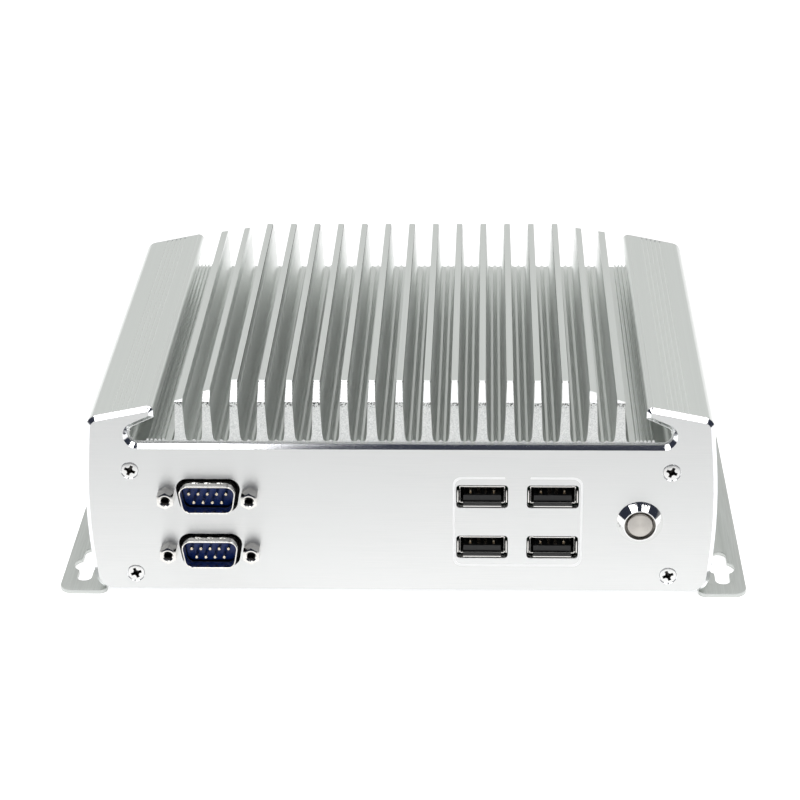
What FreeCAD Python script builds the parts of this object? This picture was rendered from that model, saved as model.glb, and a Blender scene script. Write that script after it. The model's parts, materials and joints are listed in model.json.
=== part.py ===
"""Fanless industrial computer: a finned aluminium case with a cover, two end panels and two ears.

All lengths are millimetres.  X runs to the right, Y from the front panel to the rear panel, Z up.
The pieces are drawn with Y counted from the face of the front panel, and save() then moves them so
that the origin lies under the middle of the whole object.
"""
import FreeCAD, Part
import math
import os
from FreeCAD import Vector

# --- driving dimensions -------------------------------------------------------------------------
DEPTH = 144.0                 # outer face of the front panel to that of the rear panel
FRONT_PROUD = 4.3             # what stands out in front of the front panel: the jackscrews
REAR_PROUD = 9.3              # what stands out behind the rear panel: the antenna sockets
PANEL_T = 2.0                 # end panels
PANEL_CHAMFER = 1.2
EAR_T = 1.3                   # steel ears, which carry the case clear of the table
CASE_Z = EAR_T                # underside of the case
COVER_T = 1.5                 # bottom cover
COVER_HALF = 73.8             # half width of the bottom cover
LEDGE_X = 68.6                # inner edge of the ledges that the cover is screwed to
LEDGE_TOP = 5.3
PORT_R = 3.6                  # screw ports inside the case, and the webs that carry them
PORT_WEB = 1.6
CHANNEL_Z = 51.2              # floor between the fins
CHANNEL_ROUND = 2.6           # its round ends under the wings
PANEL_STEP = 0.5              # the panels' notch is this much larger
ROOF_T = 4.5                  # plate under the fins
ROOF_Z = CHANNEL_Z - ROOF_T
FIN_COUNT = 17
FIN_PITCH = 8.12
FIN_TOP_Z = 68.85
FIN_TIP_HALF = 0.98           # half thickness of a fin at its top
FIN_TAPER = 0.042             # growth of that half thickness per millimetre down
FIN_BEVEL = 4.9               # 45 degree cut at both ends of every fin
OUTER_FIN_TOPS = {8: 64.4, 7: 66.4}   # the two lower fins at each side, counted from the middle
OUTER_FIN_SLOPE = 0.25
TOOTH_PITCH = 1.37            # ribs along the flanks of the fins
TOOTH_DEPTH = 0.22
TOOTH_START_Z = 53.2
SCREW_X = 80.3                # screws of both end panels
SCREW_ZS = (7.7, 42.3)
SERIAL_X = -57.25
SERIAL_ZS = {"upper": 34.1, "lower": 15.7}
JACK_OFFSET = 12.495          # half the standard distance between two jackscrews
USB_XS = (24.4, 45.4)
USB_ZS = (34.1, 17.2)
BUTTON_X = 71.3
BUTTON_Z = 25.7
EAR_OUT_X = 104.45
EAR_FREE_X = 89.9             # inner edge of the part that shows
EAR_IN_X = 77.0               # inner edge of the tongue under the case
SLOT_X = 97.8
SLOT_INSET = 16.9             # middle of a keyhole slot from the end face
SLOT_LENGTH = 20.6
SLOT_HALF = 2.25
KEYHOLE_R = 4.3
BOARD_Z = 14.0                # underside of the mainboard
BOARD_T = 1.6
RUN_GAP = 0.03                # radial gap of a screw in its hole

BOARD_TOP = BOARD_Z + BOARD_T
FLOOR_Z = CASE_Z + COVER_T    # inner face of the bottom cover
REAR_IN = DEPTH - PANEL_T     # inner face of the rear panel
ORIGIN_Y = (DEPTH + REAR_PROUD - FRONT_PROUD) / 2


# --- small tools ---------------------------------------------------------------------------------
def save(name, shape):
    """Write one piece, moved from the drawing origin to the frame's origin."""
    moved = shape.copy()
    moved.translate(Vector(0, -ORIGIN_Y, 0))
    moved.exportStep("parts/" + name + ".step")


def block(x, y, z):
    """A box from three (low, high) ranges."""
    return Part.makeBox(x[1] - x[0], y[1] - y[0], z[1] - z[0], Vector(x[0], y[0], z[0]))


def rod(x, z, y0, y1, radius):
    """A round bar along Y."""
    return Part.makeCylinder(radius, y1 - y0, Vector(x, y0, z), Vector(0, 1, 0))


def post(x, y, z0, z1, radius):
    """A round bar along Z."""
    return Part.makeCylinder(radius, z1 - z0, Vector(x, y, z0))


def cone(x, z, y0, y1, r0, r1):
    """A cone along Y, from radius r0 at y0 to r1 at y1."""
    return Part.makeCone(r0, r1, abs(y1 - y0), Vector(x, y0, z), Vector(0, math.copysign(1, y1 - y0), 0))


def join(shapes):
    """Fuse a list of solids into one."""
    return shapes[0].multiFuse(shapes[1:]).removeSplitter()


def group(shapes):
    """Separate solids that share one node."""
    return Part.makeCompound(shapes)


def mirror_x(shape):
    return shape.mirror(Vector(0, 0, 0), Vector(1, 0, 0))


def to_rear(shape):
    """Turn a piece that is drawn at the front half a turn about Z, to the rear."""
    turned = shape.copy()
    turned.rotate(Vector(0, DEPTH / 2, 0), Vector(0, 0, 1), 180)
    return turned


def in_front_view(u, v):
    return Vector(u, 0, v)


def in_top_view(u, v):
    return Vector(u, v, 0)


def in_side_view(u, v):
    return Vector(0, u, v)


def rounded(corners, view):
    """A closed wire through (u, v, radius) corners, each rounded to its radius."""
    edges = []
    ends = []
    for index, (u, v, radius) in enumerate(corners):
        here = view(u, v)
        before = view(*corners[index - 1][:2]) - here
        after = view(*corners[(index + 1) % len(corners)][:2]) - here
        if radius == 0:
            ends.append((here, here))
            continue
        half = before.getAngle(after) / 2
        reach = radius / math.tan(half)
        before.normalize()
        after.normalize()
        middle = before + after
        middle.normalize()
        start = here + before * reach
        stop = here + after * reach
        crown = here + middle * (radius / math.sin(half) - radius)
        edges.append((index, Part.Arc(start, crown, stop).toShape()))
        ends.append((start, stop))
    arcs = dict(edges)
    ordered = []
    for index, (start, stop) in enumerate(ends):
        if index in arcs:
            ordered.append(arcs[index])
        following = ends[(index + 1) % len(ends)][0]
        if stop.distanceToPoint(following) > 1e-6:
            ordered.append(Part.makeLine(stop, following))
    return Part.Wire(ordered)


def prism(corners, view, start, length):
    """The rounded outline as a solid, from start along the view's normal."""
    axis = {in_front_view: Vector(0, 1, 0), in_top_view: Vector(0, 0, 1), in_side_view: Vector(1, 0, 0)}[view]
    face = Part.Face(rounded(corners, view))
    face.translate(axis * start)
    return face.extrude(axis * length)


def rectangle(x, z, half_w, half_h, radius=0.0):
    """Corners of an upright rectangle about (x, z)."""
    return [(x - half_w, z - half_h, radius), (x + half_w, z - half_h, radius),
            (x + half_w, z + half_h, radius), (x - half_w, z + half_h, radius)]


def hexagon(x, z, radius, start, length):
    """A hexagonal bar along Y, measured to its corners, with a corner on each side."""
    turns = [math.radians(60 * step) for step in range(6)]
    corners = [(x + radius * math.cos(turn), z + radius * math.sin(turn), 0) for turn in turns]
    return prism(corners, in_front_view, start, length)


def d_corners(x, z, half_w, half_h, radius):
    """Corners of a D shape, wide side up, with flanks 10 degrees off upright."""
    inset = 2 * half_h * math.tan(math.radians(10))
    return [(x - half_w + inset, z - half_h, radius), (x + half_w - inset, z - half_h, radius),
            (x + half_w, z + half_h, radius), (x - half_w, z + half_h, radius)]


def strip(points, thickness, x0, x1):
    """A bent flat band: the line through (y, z) points, thickened and spread from x0 to x1."""
    def offset(index, side):
        here = Vector(*points[index], 0)
        legs = []
        for near, far in ((index - 1, index), (index, index + 1)):
            if 0 <= near and far < len(points):
                leg = Vector(*points[far], 0) - Vector(*points[near], 0)
                leg.normalize()
                legs.append(Vector(-leg.y, leg.x, 0))
        normal = legs[0] + legs[-1]
        normal.normalize()
        return here + normal * (side * thickness / 2 / normal.dot(legs[0]))
    order = range(len(points))
    rim = [offset(index, 1) for index in order] + [offset(index, -1) for index in reversed(order)]
    return prism([(point.x, point.y, 0) for point in rim], in_side_view, x0, x1 - x0)


def coil_spring(x, z, y0, y1, radius, wire, turns):
    """A coil spring of square wire along Y."""
    half = wire / 2
    rise = y1 - y0 - wire
    corners = [(-half, -half), (half, -half), (half, half), (-half, half), (-half, -half)]
    square_wire = Part.makePolygon([Vector(radius + u, 0, v) for u, v in corners])
    coil = Part.Wire(Part.makeHelix(rise / turns, rise, radius)).makePipeShell([square_wire], True, True)
    coil.rotate(Vector(0, 0, 0), Vector(1, 0, 0), -90)
    coil.translate(Vector(x, y0 + half, z))
    return coil


# --- outline shared by the case and both end panels ------------------------------------------------
WING_UNDER = math.radians(24.5)   # slope of the hooked wing's underside
WING_OVER = math.radians(11.6)    # slope of its top
WING_TIP_X = 72.45
WING_CORNER = (92.27, 59.13)
SIDE_CREST = (94.85, 30.0)        # the bowed side's two straights would meet here
FOOT_CORNER_X = 92.5
NOTCH_CENTRE = (77.4, 53.8)       # round end of the channel, under the wing


def wing_top(x):
    """Height of the wing's top face."""
    return WING_CORNER[1] + (WING_CORNER[0] - x) * math.tan(WING_OVER)


def outline_face(channel_z, round_r):
    """The whole end view: channel between two hooked wings, bowed sides, flat foot."""
    centre_x, centre_z = NOTCH_CENTRE
    touch_x = centre_x + round_r * math.sin(WING_UNDER)
    touch_z = centre_z + round_r * math.cos(WING_UNDER)
    end_x = centre_x + round_r

    def underside(x):
        return touch_z - (x - touch_x) * math.tan(WING_UNDER)
    right = [(end_x, channel_z, round_r * 0.99), (end_x, underside(end_x), round_r * 0.99),
             (WING_TIP_X, underside(WING_TIP_X), 0), (WING_TIP_X, wing_top(WING_TIP_X), 1.7),
             (*WING_CORNER, 3.8), (*SIDE_CREST, 190.0), (FOOT_CORNER_X, CASE_Z, 6.0)]
    left = [(-x, z, radius) for x, z, radius in reversed(right)]
    return Part.Face(rounded(right + left, in_front_view))


# --- screws ----------------------------------------------------------------------------------------
def countersunk(length, head_r=2.7, shank_r=1.5, grow=0.0):
    """A countersunk screw, its head's face at the origin, pointing along +Y."""
    rise = head_r - shank_r
    head = cone(0, 0, 0, rise, head_r + grow, shank_r + grow)
    return join([head, rod(0, 0, 0, length, shank_r + grow)])


def placed(shape, x, y, z, upward=False):
    """Move a screw to its place; an upward one points along +Z instead of +Y."""
    moved = shape.copy()
    if upward:
        moved.rotate(Vector(0, 0, 0), Vector(1, 0, 0), 90)
    moved.translate(Vector(x, y, z))
    return moved


def panel_screw_places():
    return [(side * SCREW_X, z) for side in (-1, 1) for z in SCREW_ZS]


PANEL_SCREW_LENGTH = 12.0
COVER_SCREW_LENGTH = 5.0
COVER_SCREWS = [(side * (LEDGE_X + 2.6), y) for side in (-1, 1) for y in (14.0, DEPTH / 2, DEPTH - 14.0)]
EAR_SCREW_LENGTH = 4.2
EAR_SCREWS = [(side * 85.0, y) for side in (-1, 1) for y in (20.0, DEPTH / 2, DEPTH - 20.0)]


# --- case -------------------------------------------------------------------------------------------
def fin_top(index):
    return OUTER_FIN_TOPS.get(abs(index), FIN_TOP_Z)


def fin_half(z):
    return FIN_TIP_HALF + (FIN_TOP_Z - z) * FIN_TAPER


def fin_flank(index, side):
    """Points up one flank of a fin: a flared foot, saw teeth, then a plain tip."""
    middle = index * FIN_PITCH
    lean = -OUTER_FIN_SLOPE * math.copysign(1, index) if index and abs(index) in OUTER_FIN_TOPS else 0
    top = fin_top(index) + lean * side * FIN_TIP_HALF
    points = [(middle + side * (fin_half(CHANNEL_Z) + 0.9), CHANNEL_Z),
              (middle + side * (fin_half(CHANNEL_Z) + 0.25), CHANNEL_Z + 0.35),
              (middle + side * fin_half(CHANNEL_Z + 1.1), CHANNEL_Z + 1.1)]
    teeth = int((fin_top(index) - 2.2 - TOOTH_START_Z) / TOOTH_PITCH)
    for tooth in range(teeth):
        z = TOOTH_START_Z + tooth * TOOTH_PITCH
        points.append((middle + side * fin_half(z), z))
        valley = z + TOOTH_PITCH / 2
        points.append((middle + side * (fin_half(valley) - TOOTH_DEPTH), valley))
    points.append((middle + side * fin_half(top - 1.6), top - 1.6))
    points.append((middle + side * fin_half(top), top))
    return points


def channel_ridge(middle):
    """A small triangular ridge along the floor between two fins."""
    return [(middle - 0.7, CHANNEL_Z), (middle, CHANNEL_Z + 0.65), (middle + 0.7, CHANNEL_Z)]


def side_ridges():
    """Five round-backed ridges along the floor beside the wing, from the middle outwards."""
    points = []
    for ridge in range(5):
        foot = 69.4 + ridge * 1.2
        points += [(foot, CHANNEL_Z), (foot + 0.3, CHANNEL_Z + 0.75), (foot + 0.7, CHANNEL_Z + 0.75),
                   (foot + 0.95, CHANNEL_Z)]
    return points


def finned_profile():
    """Face of the fins and the ridges, standing on a thin layer of the roof."""
    half = FIN_COUNT // 2
    points = []
    for index in range(-half, half + 1):
        points += fin_flank(index, -1) + list(reversed(fin_flank(index, 1)))
        if index < half:
            points += channel_ridge((index + 0.5) * FIN_PITCH)
    ridges = side_ridges()
    points = [(-x, z) for x, z in reversed(ridges)] + points + ridges
    low = CHANNEL_Z - 1.0
    points = [(points[0][0], low)] + points + [(points[-1][0], low)]
    vectors = [in_front_view(x, z) for x, z in points]
    return Part.Face(Part.makePolygon(vectors + vectors[:1]))


def wing_grooves(start, length):
    """Five shallow V grooves along the top of each wing."""
    grooves = []
    for groove in range(5):
        x = 79.0 + groove * 1.5
        z = wing_top(x)
        vee = prism([(x - 0.4, z + 0.12, 0), (x, z - 0.22, 0), (x + 0.4, z - 0.04, 0)],
                    in_front_view, start, length)
        grooves += [vee, mirror_x(vee)]
    return grooves


def finned_case():
    """The extruded case: fins, hooked wings, bowed sides, screw ports and ledges for the cover."""
    length = DEPTH - 2 * PANEL_T
    body = outline_face(CHANNEL_Z, CHANNEL_ROUND)
    right = [(COVER_HALF + 0.05, CASE_Z - 1, 0), (COVER_HALF + 0.05, FLOOR_Z, 0), (LEDGE_X, FLOOR_Z, 0),
             (LEDGE_X, LEDGE_TOP, 0), (COVER_HALF + 0.05, LEDGE_TOP, 0), (90.6, 6.0, 3.0),
             (91.6, SIDE_CREST[1], 0), (90.4, ROOF_Z, 4.0)]
    left = [(-x, z, radius) for x, z, radius in reversed(right)]
    cavity = rounded(right + left, in_front_view)
    profile = body.fuse(finned_profile()).cut(Part.Face(cavity)).removeSplitter()
    case = profile.Faces[0].extrude(Vector(0, length, 0))
    case.translate(Vector(0, PANEL_T, 0))
    ports = []
    for x, z in panel_screw_places():
        ports.append(rod(x, z, PANEL_T, PANEL_T + length, PORT_R))
        web = (z, ROOF_Z + 0.5) if z > CHANNEL_Z / 2 else (LEDGE_TOP - 0.3, z)
        ports.append(block((x - PORT_WEB, x + PORT_WEB), (PANEL_T, PANEL_T + length), web))
    case = join([case] + ports)
    cuts = [rod(x, z, 0, DEPTH, 1.5 + RUN_GAP) for x, z in panel_screw_places()]
    cuts += wing_grooves(0, DEPTH)
    high = FIN_TOP_Z + 2
    low = FIN_TOP_Z - FIN_BEVEL
    reach = high - low
    for start, step in ((PANEL_T, 1), (DEPTH - PANEL_T, -1)):
        cuts.append(prism([(start - step, low, 0), (start, low, 0), (start + step * reach, high, 0),
                           (start - step, high, 0)], in_side_view, -70, 140))
    cover_screw = countersunk(COVER_SCREW_LENGTH, grow=RUN_GAP)
    cuts += [placed(cover_screw, x, y, CASE_Z, upward=True) for x, y in COVER_SCREWS]
    ear_screw = countersunk(EAR_SCREW_LENGTH, grow=RUN_GAP)
    cuts += [placed(ear_screw, x, y, 0, upward=True) for x, y in EAR_SCREWS]
    return case.cut(cuts)


def panel_blank():
    """An end panel at the front, all its outer front edges chamfered."""
    face = outline_face(CHANNEL_Z - PANEL_STEP, CHANNEL_ROUND + PANEL_STEP)
    blank = face.extrude(Vector(0, PANEL_T, 0)).removeSplitter()
    front = [edge for edge in blank.Edges if edge.BoundBox.YMax < 0.01]
    blank = blank.makeChamfer(PANEL_CHAMFER, front)
    screw = countersunk(PANEL_SCREW_LENGTH, grow=RUN_GAP)
    return blank.cut([placed(screw, x, 0, z) for x, z in panel_screw_places()])


def bottom_cover():
    plate = block((-COVER_HALF, COVER_HALF), (PANEL_T, REAR_IN), (CASE_Z, FLOOR_Z))
    screw = countersunk(COVER_SCREW_LENGTH, grow=RUN_GAP)
    cuts = [placed(screw, x, y, CASE_Z, upward=True) for x, y in COVER_SCREWS]
    cuts += [post(x, y, CASE_Z, FLOOR_Z, BOARD_SCREW_R + RUN_GAP) for x, y in board_holes()]
    return plate.cut(cuts)


def right_ear():
    """A flat steel ear with two keyhole slots, screwed under the foot of the case."""
    ends = (0.6, DEPTH - 0.6)
    tongue = (8, DEPTH - 8)
    corners = [(EAR_FREE_X, ends[0], 2.2), (EAR_OUT_X, ends[0], 4.0), (EAR_OUT_X, ends[1], 4.0),
               (EAR_FREE_X, ends[1], 2.2), (EAR_FREE_X, tongue[1], 1.0), (EAR_IN_X, tongue[1], 3.0),
               (EAR_IN_X, tongue[0], 3.0), (EAR_FREE_X, tongue[0], 1.0)]
    ear = prism(corners, in_top_view, 0, EAR_T)
    cuts = []
    for y in (SLOT_INSET, DEPTH - SLOT_INSET):
        slot = rectangle(SLOT_X, y, SLOT_HALF, SLOT_LENGTH / 2, SLOT_HALF * 0.999)
        cuts.append(prism(slot, in_top_view, -1, EAR_T + 2))
        cuts.append(post(SLOT_X, y, -1, EAR_T + 1, KEYHOLE_R))
    screw = countersunk(EAR_SCREW_LENGTH, grow=RUN_GAP)
    cuts += [placed(screw, x, y, 0, upward=True) for x, y in EAR_SCREWS if x > 0]
    return ear.cut(cuts)


# --- front panel and its connectors ----------------------------------------------------------------
SERIAL_MOUTH = -3.4           # rim of a serial plug's shell
FLANGE_T = 0.6
SERIAL_CORE_Y = 1.6           # front of the plastic core, deep in the shell
PIN_TIP_Y = -2.2
PIN_R = 0.5
PIN_PITCH = 2.77
PIN_ROW = 1.42                # height of a row of pins above or below the middle
SHELL_HALF_W = 8.9            # a plug's shell, measured outside at its wide side
SHELL_HALF_H = 4.6
SHELL_ROUND = 2.75
SHELL_WALL = 0.44
FLANGE_HALF_W = 15.4
FLANGE_HALF_H = 6.25
PLUG_GAP = 1.3                # from the shell to the edge of the panel's cut-out
JACK_FLATS = 4.8              # across the flats
JACK_HOLE_R = 1.35            # tapped hole, at its core
JACK_SHANK_R = 1.4
JACK_TAIL = 3.0               # shank behind the flange
JACK_FLOOR = 0.5              # metal left under the tapped hole
JACK_CLEAR_R = 1.75           # clearance hole in the panel and in the flange
SERIAL_BOARD_Y = 8.6


def front_panel():
    past = (-1, PANEL_T + 1)
    cuts = []
    for z in SERIAL_ZS.values():
        cuts.append(prism(d_corners(SERIAL_X, z, SHELL_HALF_W + PLUG_GAP, SHELL_HALF_H + 0.9, 3.4),
                          in_front_view, *past))
        cuts += [rod(SERIAL_X + side * JACK_OFFSET, z, *past, JACK_CLEAR_R) for side in (-1, 1)]
    for x in USB_XS:
        for z in USB_ZS:
            cuts.append(prism(rectangle(x, z, *USB_CUT, 1.1), in_front_view, *past))
    cuts.append(rod(BUTTON_X, BUTTON_Z, *past, BARREL_R + RUN_GAP))
    return panel_blank().cut(cuts)


def serial_shell(z):
    """Stamped shell of a 9-way plug: a D-shaped collar drawn out of its flange."""
    flange = prism(rectangle(SERIAL_X, z, FLANGE_HALF_W, FLANGE_HALF_H, 1.0), in_front_view,
                   PANEL_T, FLANGE_T)
    length = PANEL_T + FLANGE_T - SERIAL_MOUTH
    collar = prism(d_corners(SERIAL_X, z, SHELL_HALF_W, SHELL_HALF_H, SHELL_ROUND), in_front_view,
                   SERIAL_MOUTH, length)
    hollow = prism(d_corners(SERIAL_X, z, SHELL_HALF_W - SHELL_WALL, SHELL_HALF_H - SHELL_WALL,
                             SHELL_ROUND - SHELL_WALL), in_front_view, SERIAL_MOUTH - 1, length + 2)
    holes = [rod(SERIAL_X + side * JACK_OFFSET, z, 0, PANEL_T + 2, JACK_CLEAR_R) for side in (-1, 1)]
    return flange.fuse(collar).cut([hollow] + holes).removeSplitter()


def pin_places(z):
    """The nine pins of a plug: five above, four below."""
    upper = [(SERIAL_X + (step - 2) * PIN_PITCH, z + PIN_ROW) for step in range(5)]
    lower = [(SERIAL_X + (step - 1.5) * PIN_PITCH, z - PIN_ROW) for step in range(4)]
    return upper + lower


def serial_insulator(z):
    """Plastic core of the plug: it fills the collar's root and backs the flange."""
    behind = PANEL_T + FLANGE_T
    inside = SHELL_WALL + 0.06
    front = prism(d_corners(SERIAL_X, z, SHELL_HALF_W - inside, SHELL_HALF_H - inside, SHELL_ROUND - inside),
                  in_front_view, SERIAL_CORE_Y, behind - SERIAL_CORE_Y)
    back = prism(rectangle(SERIAL_X, z, 9.6, 5.4, 0.8), in_front_view, behind, SERIAL_BOARD_Y - behind)
    return join([front, back])


def serial_pins():
    """The free ends of the eighteen pins, standing on the plugs' cores."""
    return group([rod(x, pin_z, PIN_TIP_Y, SERIAL_CORE_Y, PIN_R)
                  for z in SERIAL_ZS.values() for x, pin_z in pin_places(z)])


def jackscrew(x, z):
    """A hexagonal standoff with a tapped hole in front and a threaded shank behind."""
    body = hexagon(x, z, JACK_FLATS / 2 / math.cos(math.radians(30)), -FRONT_PROUD, FRONT_PROUD)
    shank = rod(x, z, 0, PANEL_T + FLANGE_T + JACK_TAIL, JACK_SHANK_R)
    return join([body, shank]).cut(rod(x, z, -FRONT_PROUD - 1, -JACK_FLOOR, JACK_HOLE_R))


def serial_jackscrews():
    return group([jackscrew(SERIAL_X + side * JACK_OFFSET, z)
                  for z in SERIAL_ZS.values() for side in (-1, 1)])


def serial_board():
    """Upright circuit board behind both plugs."""
    return block((SERIAL_X - 16, SERIAL_X + 16), (SERIAL_BOARD_Y, SERIAL_BOARD_Y + BOARD_T), (8.6, 41.2))


USB_DEPTH = 14.0
USB_CUT = (7.7, 3.78)         # half sizes of the panel's cut-out
USB_HALF_W = 6.85             # half sizes of the shell, outside
USB_HALF_H = 2.86
USB_WALL = 0.3
LIP_TIP_Y = 0.2               # front edge of the flared lips
LIP_ROOT_Y = 1.6


def usb_shell(x, z):
    """Stamped shell of one socket, with its four flared lips."""
    tube = prism(rectangle(x, z, USB_HALF_W, USB_HALF_H, 0.5), in_front_view, 1.5, USB_DEPTH - 1.5)
    inner_w = USB_HALF_W - USB_WALL
    inner_h = USB_HALF_H - USB_WALL
    shell = tube.cut(prism(rectangle(x, z, inner_w, inner_h, 0.2), in_front_view, 0, USB_DEPTH + 1))
    lips = []
    for side in (-1, 1):
        flare = [(LIP_ROOT_Y, z + side * inner_h, 0), (LIP_TIP_Y, z + side * (inner_h + 0.59), 0),
                 (LIP_TIP_Y, z + side * (USB_HALF_H + 0.59), 0), (LIP_ROOT_Y, z + side * USB_HALF_H, 0)]
        lips.append(prism(flare, in_side_view, x - 5.7, 11.4))
        wing = [(x + side * inner_w, LIP_ROOT_Y, 0), (x + side * (inner_w + 0.55), LIP_TIP_Y, 0),
                (x + side * (USB_HALF_W + 0.55), LIP_TIP_Y, 0), (x + side * USB_HALF_W, LIP_ROOT_Y, 0)]
        lips.append(prism(wing, in_top_view, z - 2.0, 4.0))
    return join([shell] + lips)


def usb_tongue(x, z):
    """Plastic tongue with its root block, low in the socket."""
    root = block((x - 6.5, x + 6.5), (USB_DEPTH - 4.5, USB_DEPTH), (z - 2.5, z + 2.5))
    tongue = block((x - 5.6, x + 5.6), (1.7, USB_DEPTH - 4.0), (z - 2.05, z - 0.35))
    return join([root, tongue])


def usb_places():
    """Middles of the four front sockets, the upper two first."""
    return [(x, z) for z in USB_ZS for x in USB_XS]


def usb_contacts():
    """Four flat springs on the upper face of each tongue."""
    return group([block((x + step - 0.5, x + step + 0.5), (2.6, 9.5), (z - 0.35, z - 0.2))
                  for x, z in usb_places() for step in (-3.5, -1.0, 1.0, 3.5)])


def usb_board():
    """Upright circuit board that carries the four front sockets."""
    return block((12.0, 57.0), (USB_DEPTH, USB_DEPTH + BOARD_T), (9.0, 41.0))


# --- push button -------------------------------------------------------------------------------------
BUTTON_PROUD = 2.3
CAP_R = 3.85
CAP_FRONT = -2.1
BUTTON_TRAVEL = 1.6
BARREL_R = 6.0                # threaded barrel behind the bezel
BARREL_END = 15.0
BORE_R = 4.9                  # the barrel's inside
COLLAR_R = 4.6                # stops the cap behind the bezel
COLLAR_Y = 5.0
COLLAR_T = 1.2
SWITCH_Y = 11.2               # front of the switch insert


def turned(profile):
    """A body of revolution about the button's axis from (radius, y) points."""
    points = [Vector(radius, y, 0) for radius, y in profile]
    face = Part.Face(Part.makePolygon(points + points[:1]))
    solid = face.revolve(Vector(0, 0, 0), Vector(0, 1, 0), 360)
    solid.translate(Vector(BUTTON_X, 0, BUTTON_Z))
    return solid


def button_bezel():
    """Conical bezel and threaded barrel, turned in one piece."""
    guide = CAP_R + 0.1
    return turned([(COLLAR_R, -BUTTON_PROUD), (4.9, -BUTTON_PROUD), (6.8, -0.25), (7.0, 0.0), (BARREL_R, 0.0),
                   (BARREL_R, BARREL_END), (BORE_R, BARREL_END), (BORE_R, COLLAR_Y), (guide, COLLAR_Y),
                   (guide, -1.0), (COLLAR_R, -1.0)])


def button_cap():
    """The moving cap: a flat disc with a plunger and a collar that stops it behind the bezel."""
    front = COLLAR_Y + 0.1
    back = front + COLLAR_T
    return turned([(0.0, CAP_FRONT), (CAP_R - 0.25, CAP_FRONT), (CAP_R, CAP_FRONT + 0.25), (CAP_R, front),
                   (COLLAR_R, front), (COLLAR_R, back), (1.5, back), (1.5, 9.0), (0.0, 9.0)])


def button_nut():
    nut = hexagon(BUTTON_X, BUTTON_Z, 8.1, PANEL_T, 2.4)
    return nut.cut(rod(BUTTON_X, BUTTON_Z, 0, 8, BARREL_R + RUN_GAP))


def button_switch():
    """Switch insert that closes the barrel, with two solder tags."""
    body = turned([(0.0, 12.0), (2.1, 12.0), (2.1, SWITCH_Y), (BORE_R - 0.05, SWITCH_Y),
                   (BORE_R - 0.05, BARREL_END), (5.6, BARREL_END), (5.6, 18.0), (0.0, 18.0)])
    tags = [block((BUTTON_X + side * 2.5 - 0.9, BUTTON_X + side * 2.5 + 0.9), (17.9, 22.0),
                  (BUTTON_Z - 0.2, BUTTON_Z + 0.2)) for side in (-1, 1)]
    return join([body] + tags)


def button_spring():
    behind_cap = COLLAR_Y + 0.1 + COLLAR_T
    return coil_spring(BUTTON_X, BUTTON_Z, behind_cap + BUTTON_TRAVEL + 0.1, SWITCH_Y - 0.1, 3.0, 0.45, 3)


# --- mainboard ---------------------------------------------------------------------------------------
BOARD_X = (-70.0, 70.0)
BOARD_Y = (34.0, 138.0)
PROCESSOR_XY = (-8.0, 84.0)
CELL_XY = (0.0, 47.0)
CELL_R = 10.0
CELL_FLOOR = BOARD_TOP + 0.8
BOARD_SCREW_R = 1.5
HEADER_TOP = BOARD_TOP + 6.0
CHIP_T = 1.1


def board_holes():
    return [(x, y) for x in (BOARD_X[0] + 5, BOARD_X[1] - 5) for y in (BOARD_Y[0] + 5, BOARD_Y[1] - 30)]


def mainboard():
    plate = block(BOARD_X, BOARD_Y, (BOARD_Z, BOARD_TOP))
    return plate.cut([post(x, y, BOARD_Z, BOARD_TOP, BOARD_SCREW_R + 0.1) for x, y in board_holes()])


def board_spacers():
    """Hollow pillars between the cover and the mainboard."""
    return group([post(x, y, FLOOR_Z, BOARD_Z, 2.9).cut(post(x, y, FLOOR_Z, BOARD_Z, BOARD_SCREW_R + RUN_GAP))
                  for x, y in board_holes()])


def board_screws():
    """Pan screws down through the board and the pillars."""
    screws = []
    for x, y in board_holes():
        head = post(x, y, BOARD_TOP, BOARD_TOP + 1.8, 2.8)
        screws.append(join([head, post(x, y, CASE_Z + 0.1, BOARD_TOP, BOARD_SCREW_R)]))
    return group(screws)


def square(half, z0, z1, dx=0.0, dy=0.0):
    """A square block about the processor's middle."""
    x, y = PROCESSOR_XY
    return block((x + dx - half, x + dx + half), (y + dy - half, y + dy + half), (z0, z1))


PROCESSOR_TOP = BOARD_TOP + 2.2
PAD_T = 0.5


def processor():
    """Package with the bare die on top."""
    return join([square(15.0, BOARD_TOP, BOARD_TOP + 1.4), square(5.5, BOARD_TOP + 1.4, PROCESSOR_TOP)])


def heat_block():
    """Aluminium block that leads the heat up to the roof of the case."""
    lower = square(11.0, PROCESSOR_TOP + PAD_T, PROCESSOR_TOP + 6)
    upper = square(24.0, PROCESSOR_TOP + 6, ROOF_Z - PAD_T)
    return join([lower, upper])


def thermal_pads():
    return group([square(11.0, PROCESSOR_TOP, PROCESSOR_TOP + PAD_T), square(24.0, ROOF_Z - PAD_T, ROOF_Z)])


def memory_socket():
    """Low socket with two latch arms."""
    back = block((28.0, 70.0), (60.0, 65.0), (BOARD_TOP, BOARD_TOP + 5.2))
    arms = [block((x, x + 3.0), (65.0, 88.0), (BOARD_TOP, BOARD_TOP + 4.0)) for x in (28.0, 67.0)]
    mouth = block((31.1, 66.9), (62.0, 66.0), (BOARD_TOP + 2.6, BOARD_TOP + 3.85))
    return join([back] + arms).cut(mouth)


def memory_module():
    """Module with four chips on its upper side."""
    plate = block((31.2, 66.8), (62.1, 92.0), (BOARD_TOP + 2.7, BOARD_TOP + 3.75))
    chips = [block((x, x + 7.4), (72.0, 84.0), (BOARD_TOP + 3.75, BOARD_TOP + 3.75 + CHIP_T))
             for x in (32.2, 40.6, 49.6, 58.0)]
    return join([plate] + chips)


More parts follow.
